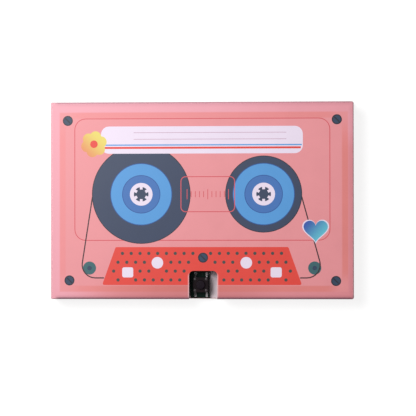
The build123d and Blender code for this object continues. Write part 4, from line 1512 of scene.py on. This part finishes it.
def contact_dome(centre):
    """A thin cap of a ball on the floor of the well: z = sqrt(R^2 - r^2) - R + rise, and R from both."""
    reach, rise, skin = 2.1, 0.55, 0.1
    rows = []
    for inset in (0, skin):
        rim, height = reach - inset, rise - inset
        ball = (rim**2 + height**2) / (2 * height)
        radius = np.linspace(0, rim, 14)
        rows.append(np.column_stack([radius, well_floor + np.sqrt(ball**2 - radius**2) - ball + height]))
    return [turned(np.concatenate([rows[0], rows[1][::-1]]), centre, 48)]


# %% [markdown]
# A lead leaves the base, bends down to the board and bends out again along its pad, where solder
# holds it. Molten solder climbs a wire and falls away in a hollow curve to the edge of the pad, so a
# joint is a mound between two outlines. A ball would look like a joint that hadn't taken.

# %% Leads and solder of a push switch
lead_line, lead_bends = ((2.9, 0.9), (3.55, 0.9), (3.55, 0.2), (4.3, 0.2)), (0, 0.32, 0.12, 0)
joint_height = 0.22
joint_top, joint_foot = (0.22, 3.62, 4.3, 0.1), (0.39, 3.6, 4.75, 0.18)


def leads_round(centre):
    """Side, material number and place along X of each lead: 0 on the right, 1 on the left, in painted
    shade.
    """
    places = list(enumerate((centre[0] + lead_offset, centre[0] - lead_offset)))
    return [(side, number, x) for side in (-1, 1) for number, x in places]


def switch_leads(centre):
    """Four leads that leave the base, bend down to the board and bend out along their pads."""
    parts = []
    for side, number, x in leads_round(centre):
        line = (np.array(lead_line) * (side, 1) + (centre[1], circuit_face))[::side]
        width = (x - lead_width / 2, x + lead_width / 2)
        lead = strip(line, lead_bends[::side], lead_thickness, *width)
        parts += numbered(lead, number)
    return parts


def mound(inner, outer, low, height, rings=6):
    """Solder between two outlines: t from 0 inside to 1 outside, and height times (1 - t) squared."""
    shares = np.linspace(0, 1, rings)
    return tube([lifted(inner * (1 - t) + outer * t, low + height * (1 - t) ** 2) for t in shares])


def solder_joints(centre):
    """One mound on each pad, round the foot of its lead. Its outlines have rounded corners."""
    parts = []
    for side, number, x in leads_round(centre):
        outlines = []
        for half_width, near, far, radius in (joint_top, joint_foot):
            low, high = sorted((centre[1] + side * near, centre[1] + side * far))
            outlines.append(rectangle_path((x - half_width, low), (x + half_width, high), radius))
        parts += numbered(mound(*outlines, circuit_face, joint_height), number)
    return parts


# %% [markdown]
# Both switches are the same part, so one function makes either at its place, from a table of its
# pieces with their finishes and bodies. The button rides on a body of its own, so that it can be
# pressed. The dome under it is made apart from the table.

# %% Push switches


def push_switch(use, centre):
    """One push switch at its centre. Its button rides on the key's own body."""
    body = "back_cover"
    made = [
        ("switch_body", switch_base(centre), [switch_black], body, "black_moulding", "switch_base"),
        ("switch_cover", switch_cover(centre), [switch_plate], body, "black_plate", "switch_plate"),
        ("switch_rivets", rivet_heads(centre), [rivet_black], body, "black_moulding", None),
        ("key", push_button(centre), [button_black], f"{use}_key", "black_moulding", "button"),
        ("bent_leads", switch_leads(centre), [tinned, tin_in_painted_shade], body, "tinned_leads", "switch_leads"),
        ("solder_joints", solder_joints(centre), [solder, tin_in_painted_shade], body, "tinned_leads", "switch_solder"),
    ]
    for name, parts, materials, rides_on, slot, node in made:
        piece = make_piece(f"{use}_{name}", parts, materials)
        if name == "bent_leads":
            soften(piece, 0.04)
        settle(piece, rides_on, slot, *([f"{use}_{node}"] if node else []))
    dome = make_piece(f"{use}_contact_dome", contact_dome(centre), [steel])
    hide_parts(f"{use}_switch_dome")
    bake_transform(dome)


push_switch("play", play_place)
push_switch("record", record_place)

# %% [markdown]
# The circuit board is woven glass under a dark green mask. Its copper runs stand a little proud
# under the mask and look paler, and bare pads are tinned. Both are modelled, because they catch the
# light between the leads of the switch. A run is a line of even width, as in the print, made into a
# very thin slab. The weave is two crossed waves, fine enough to show only as a faint cloth.

# %% Finish of the circuit board


def build_woven_laminate():
    """Two crossed sine waves for the cloth, and a slow noise for the mask's uneven depth."""
    green = (0.0, 0.1, 0.05, 1.0)
    group, given, result = new_pattern("woven_laminate", Colour=green, Threads_per_metre=1800.0)
    pace = product(group, given["Threads per metre"], 2 * math.pi)
    x, y, _ = own_axes(group)
    waves = [sum_of(group, "SINE", product(group, place, pace)) for place in (x, y)]
    weave = sum_of(group, "MULTIPLY_ADD", product(group, *waves), 0.5, 0.5)
    depth = noise(group, 500.0, 3.0)
    toned = pale_and_dark(group, given["Colour"], weave, 0.25)
    send(
        group,
        result,
        Colour=pale_and_dark(group, toned, depth, 0.5),
        Roughness=sum_of(group, "MULTIPLY_ADD", depth, 0.2, 0.22),
        Height=weave,
    )
    return group


woven_laminate = build_woven_laminate()
masked_glass = surface("masked_glass", woven_laminate, 0.004, dull, Colour=rgb(3, 32, 25))
masked_copper = surface("masked_copper", woven_laminate, 0.002, dull, Colour=rgb(26, 52, 40))
paint(masked_glass, "circuit_board", "microphone_base", "speaker_terminals")

# %% [markdown]
# A run is given by the points where it turns, because an etched board is drawn in just that way. The
# runs join the switches' pads to the chip, the small parts and the loudspeaker. Pads are tinned
# plates, a little larger than what is soldered to them.

# %% Tracks and pads
track_width, track_height, pad_height = 0.26, 0.035, 0.04
track_bend, pad_corner, pad_reach = 0.6, 0.15, 4.2
resistor_places = [(-11.6, -29.4), (-11.6, -27.6), (-20.9, -28.8), (-20.9, -22.2)]
tracks = [
    [(-2.95, -29.2), (-2.95, -26.7), (-4.4, -25.2)],
    [(-1.4, -32.0), (-1.4, -27.0), (-3.4, -25.0)],
    [(-0.2, -32.0), (-0.2, -24.2)],
    [(1.55, -29.2), (1.55, -21.2)],
    [(-13.75, -21.2), (-11.0, -21.2), (-9.0, -22.6)],
    [(-10.9, -29.4), (-8.6, -29.4), (-7.0, -27.8), (-7.0, -26.4)],
    [(-10.9, -27.6), (-9.6, -27.6), (-8.2, -25.6)],
    [(-18.25, -21.2), (-19.6, -21.2), (-20.2, -22.2)],
    [(-18.25, -29.6), (-19.6, -29.6), (-20.2, -28.8)],
    [(-21.6, -22.2), (-23.2, -24.0), (-23.6, -25.4)],
    [(-21.6, -28.8), (-23.4, -28.8), (-25.2, -27.0), (-25.2, -25.4)],
    [(-30.9, -27.2), (-29.4, -28.9), (-28.8, -28.9)],
    [(-3.4, -21.6), (-1.8, -20.0), (0.4, -20.0), (1.2, -18.8), (1.2, -11.6)],
    [(-5.0, -20.6), (-5.0, -20.0), (-37.4, -20.0)],
]


def slab(loops, low, high):
    """A thin flat piece between two heights, with an upright wall on each loop."""
    walls = []
    for loop in loops:
        points = np.concatenate([lifted(loop, height) for height in (low, high)])
        walls.append((points, grid_faces(2, len(loop), closed=True)))
    return [*walls, face_at(loops, high), face_at(loops, low)]


switch_spots = [spots_round(place, lead_offset, pad_reach) for place in (play_place, record_place)]
pads = [(spot, 0.84, 1.3) for spot in sum(switch_spots, [])]
pads += [((x + side * 0.75, y), 0.5, 0.9) for x, y in resistor_places[::-1] for side in (-1, 1)]
pads += [((1.2, y), 1.2, 1.5) for y in (-11.0, -7.5)]
track_parts, pad_parts = [], []
for track in tracks:
    run = stroke(track, inner_radii(track, track_bend), track_width)
    track_parts += slab(run, circuit_face, circuit_face + track_height)
for spot, width, length in pads:
    half = np.array((width, length)) / 2
    outline = rectangle_path(spot - half, spot + half, pad_corner)
    pad_parts += slab([outline], circuit_face, circuit_face + pad_height)
settle(make_piece("circuit_tracks", track_parts, [masked_copper]), "back_cover", "green_laminate")
settle(make_piece("circuit_pads", pad_parts, [tinned]), "back_cover", "tinned_leads")

# %% [markdown]
# The parts on the board are small blocks with metal ends, a black drop of resin over the sound chip,
# a milky lamp and a round microphone. The resin is poured, so its outline wanders a little: its
# radius is a circle with two slow waves. The blocks are thin plates with rounded edges, and their
# ends are slightly larger caps, which is how the real ones are dipped.

# %% Helpers for parts on the board
cap_reach, cap_skin = 0.35, 0.03
block_edge, block_corner = 0.05, 0.06


def capped_block(centre, size):
    """A ceramic block lying along X, with a plated cap of material 1 on each end."""
    half = np.array(size[:2]) / 2
    low, high = np.array(centre) - half, np.array(centre) + half
    height = circuit_face + size[2]
    body = partial(rectangle_path, low + cap_skin, high - cap_skin, block_corner)
    parts = plate([body], circuit_face, height - cap_skin, block_edge)
    for start, end in ((low[0], low[0] + cap_reach), (high[0] - cap_reach, high[0])):
        cap = partial(rectangle_path, (start, low[1]), (end, high[1]), block_corner)
        parts += numbered(plate([cap], circuit_face, height, block_edge), 1)
    return parts


def resin_drop(centre, radius, height):
    """z = height (1 - (r / R)^2)^0.6, with R = radius (0.95 + 0.03 sin 3a + 0.02 sin 5a)."""
    rings, steps = 14, 72
    share = np.sin(np.linspace(0, np.pi / 2, rings))[:, None]
    angle = np.linspace(0, 2 * np.pi, steps, endpoint=False)
    reach = radius * (0.95 + 0.03 * np.sin(3 * angle + 0.5) + 0.02 * np.sin(5 * angle))
    x = centre[0] + share * reach * np.cos(angle)
    y = centre[1] + share * reach * np.sin(angle)
    z = circuit_face + height * (1 - share**2) ** 0.6 + 0 * angle
    points = np.stack([x, y, z], -1).reshape(-1, 3)
    foot = np.array([(rings - 1) * steps + np.arange(steps)])
    return [(points, grid_faces(rings, steps, closed=True)), (points, foot)]


# %% [markdown]
# Four resistors, three capacitors, the resin and the lamp stand where the frame has them. The lamp is
# a capped block too, with a low clear lens on top that is turned from a quarter of an ellipse.

# %% Parts on the board
resistor_size, capacitor_size, lamp_size = (1.6, 0.8, 0.45), (2.0, 1.25, 1.0), (2.0, 1.25, 0.8)
capacitor_places = [(0.6, -21.2), (0.6, -24.2), (-28.0, -28.9)]
chip_place, chip_radius, chip_height = (-6.0, -23.6), 3.2, 1.3
lens_radius, lens_rise, lens_sink = 0.5, 0.2, 0.05

resin = moulded("black_resin", 0.002, (16, 15, 17), (110, 106, 104), 0.1)
dark_ceramic = moulded("resistor_ceramic", 0.003, (32, 30, 30), (120, 116, 110), 0.1)
tan_ceramic = moulded("capacitor_ceramic", 0.003, (176, 146, 104), (206, 190, 160), 0.3)
lamp_body = moulded("lamp_body", 0.002, (226, 222, 208), (190, 184, 170), 0.2)
glassy = {"Coat_Weight": 0.6, "Coat_Roughness": 0.08}
lamp_lens = moulded("lamp_lens", 0.002, (232, 214, 150), (240, 236, 214), 0.3, **glassy)

resistor_parts = [part for spot in resistor_places for part in capped_block(spot, resistor_size)]
capacitor_parts = [part for spot in capacitor_places for part in capped_block(spot, capacitor_size)]
chip_parts = resin_drop(chip_place, chip_radius, chip_height)
lamp_top = circuit_face + lamp_size[2]
lens_profile = [(0, lamp_top - lens_sink), (lens_radius, lamp_top - lens_sink)]
lens_profile += crown(lens_radius, lamp_top, lens_rise, 7)
lamp_parts = capped_block(lamp_place, lamp_size) + numbered([turned(lens_profile, lamp_place, 32)], 2)
for name, parts, materials, slot, node in (
    ("chip_resistors", resistor_parts, [dark_ceramic, tinned], "chip_ceramic", "resistors"),
    ("chip_capacitors", capacitor_parts, [tan_ceramic, tinned], "capacitor_ceramic", "capacitors"),
    ("chip_resin", chip_parts, [resin], "dark_resin", "voice_chip"),
    ("lamp", lamp_parts, [lamp_body, tinned, lamp_lens], "lamp_resin", "record_lamp"),
):
    settle(make_piece(name, parts, materials), "back_cover", slot, node)

# %% [markdown]
# The three button cells lie in a black holder under spring clips. The loudspeaker is a stamped steel
# basket with a magnet behind and a thin clear diaphragm in front, glued under the panel on a foam
# ring. Behind the sound holes the diaphragm shows, pressed in fine rings round a dome, so it is a
# profile of waves turned about the speaker's axis. The other solids are already the right shape.

# %% Loudspeaker diaphragm
diaphragm_high = box_mm("speaker_diaphragm")[1][2]
speaker_radius, gasket_inner, coil_radius = 20.0, 17.4, 7.65
film_thickness, cone_drop, dome_rise = 0.1, 0.95, 0.75
wave_height, wave_length = 0.07, 1.2


def diaphragm_height(radius):
    """Flat under the rim, a cone with small waves down to the coil, and a dome inside it."""
    cone = np.clip((gasket_inner - radius) / (gasket_inner - coil_radius), 0, 1)
    waves = wave_height * np.sin(2 * np.pi * (radius - coil_radius) / wave_length) * np.sin(np.pi * cone)
    dome = dome_rise * (1 - (radius / coil_radius) ** 2).clip(0)
    return diaphragm_high - cone_drop * cone + waves + dome


def diaphragm_film():
    """The film's upper profile, out and back along its underside, turned about the axis."""
    dome, cone = np.linspace(0, coil_radius, 12), np.linspace(coil_radius, gasket_inner, 70)
    radius = np.concatenate([dome, cone[1:], [speaker_radius]])
    upper = np.column_stack([radius, diaphragm_height(radius)])
    lower = upper[::-1] - (0, film_thickness)
    return [turned(np.concatenate([upper, lower]), speaker_place, 96)]


filmy = {"Coat_Weight": 0.5, "Coat_Roughness": 0.12}
clear_film = moulded("speaker_film", 0.002, (146, 140, 128), (206, 202, 192), 0.25, **filmy)
film = make_piece("speaker_film_cone", diaphragm_film(), [clear_film])
settle(film, "back_cover", "clear_film", "speaker_diaphragm")

# %% [markdown]
# The cells are nickelled and clean, the microphone's can is duller, and the coil is copper. The
# magnet is a pressed ferrite, dull and slightly flecked, so it takes the finish of a board in its own
# colours. The wires have soft coloured sleeves. All are solids of the frame with a new finish.

# %% Finishes of the cells, the holder, the loudspeaker and the wires
cell_metal = metal("nickelled_cell", 0.002, (220, 220, 218), (166, 158, 144), 0.25, 0.18, **bright)
can_metal = metal("microphone_can_metal", 0.003, (206, 208, 212), (150, 150, 152), 0.2, 0.34, **bright)
copper = metal("copper_wire", 0.01, (206, 128, 78), (120, 66, 40), 0.4, 0.3, **bright)
ferrite = board("dark_ferrite", 0.02, (58, 58, 62), (96, 96, 100), 0.1)
holder_black = moulded("holder_moulding", 0.006, (30, 30, 32), (128, 124, 120), 0.15)
red_sleeve = moulded("red_sleeve", 0.002, (178, 34, 32), (214, 150, 140), 0.1)
black_sleeve = moulded("black_sleeve", 0.002, (26, 26, 28), (120, 118, 116), 0.1)
paint(cell_metal, "button_cell_1", "button_cell_2", "button_cell_3")
paint(steel, "cell_springs", "cell_clips", "speaker_basket", "speaker_pole_plate")
paint(can_metal, "microphone_can")
paint(copper, "speaker_coil")
paint(ferrite, "speaker_magnet")
paint(holder_black, "battery_holder")
paint(red_sleeve, "speaker_wire_red")
paint(black_sleeve, "speaker_wire_black")
paint(tinned, "wire_joints")
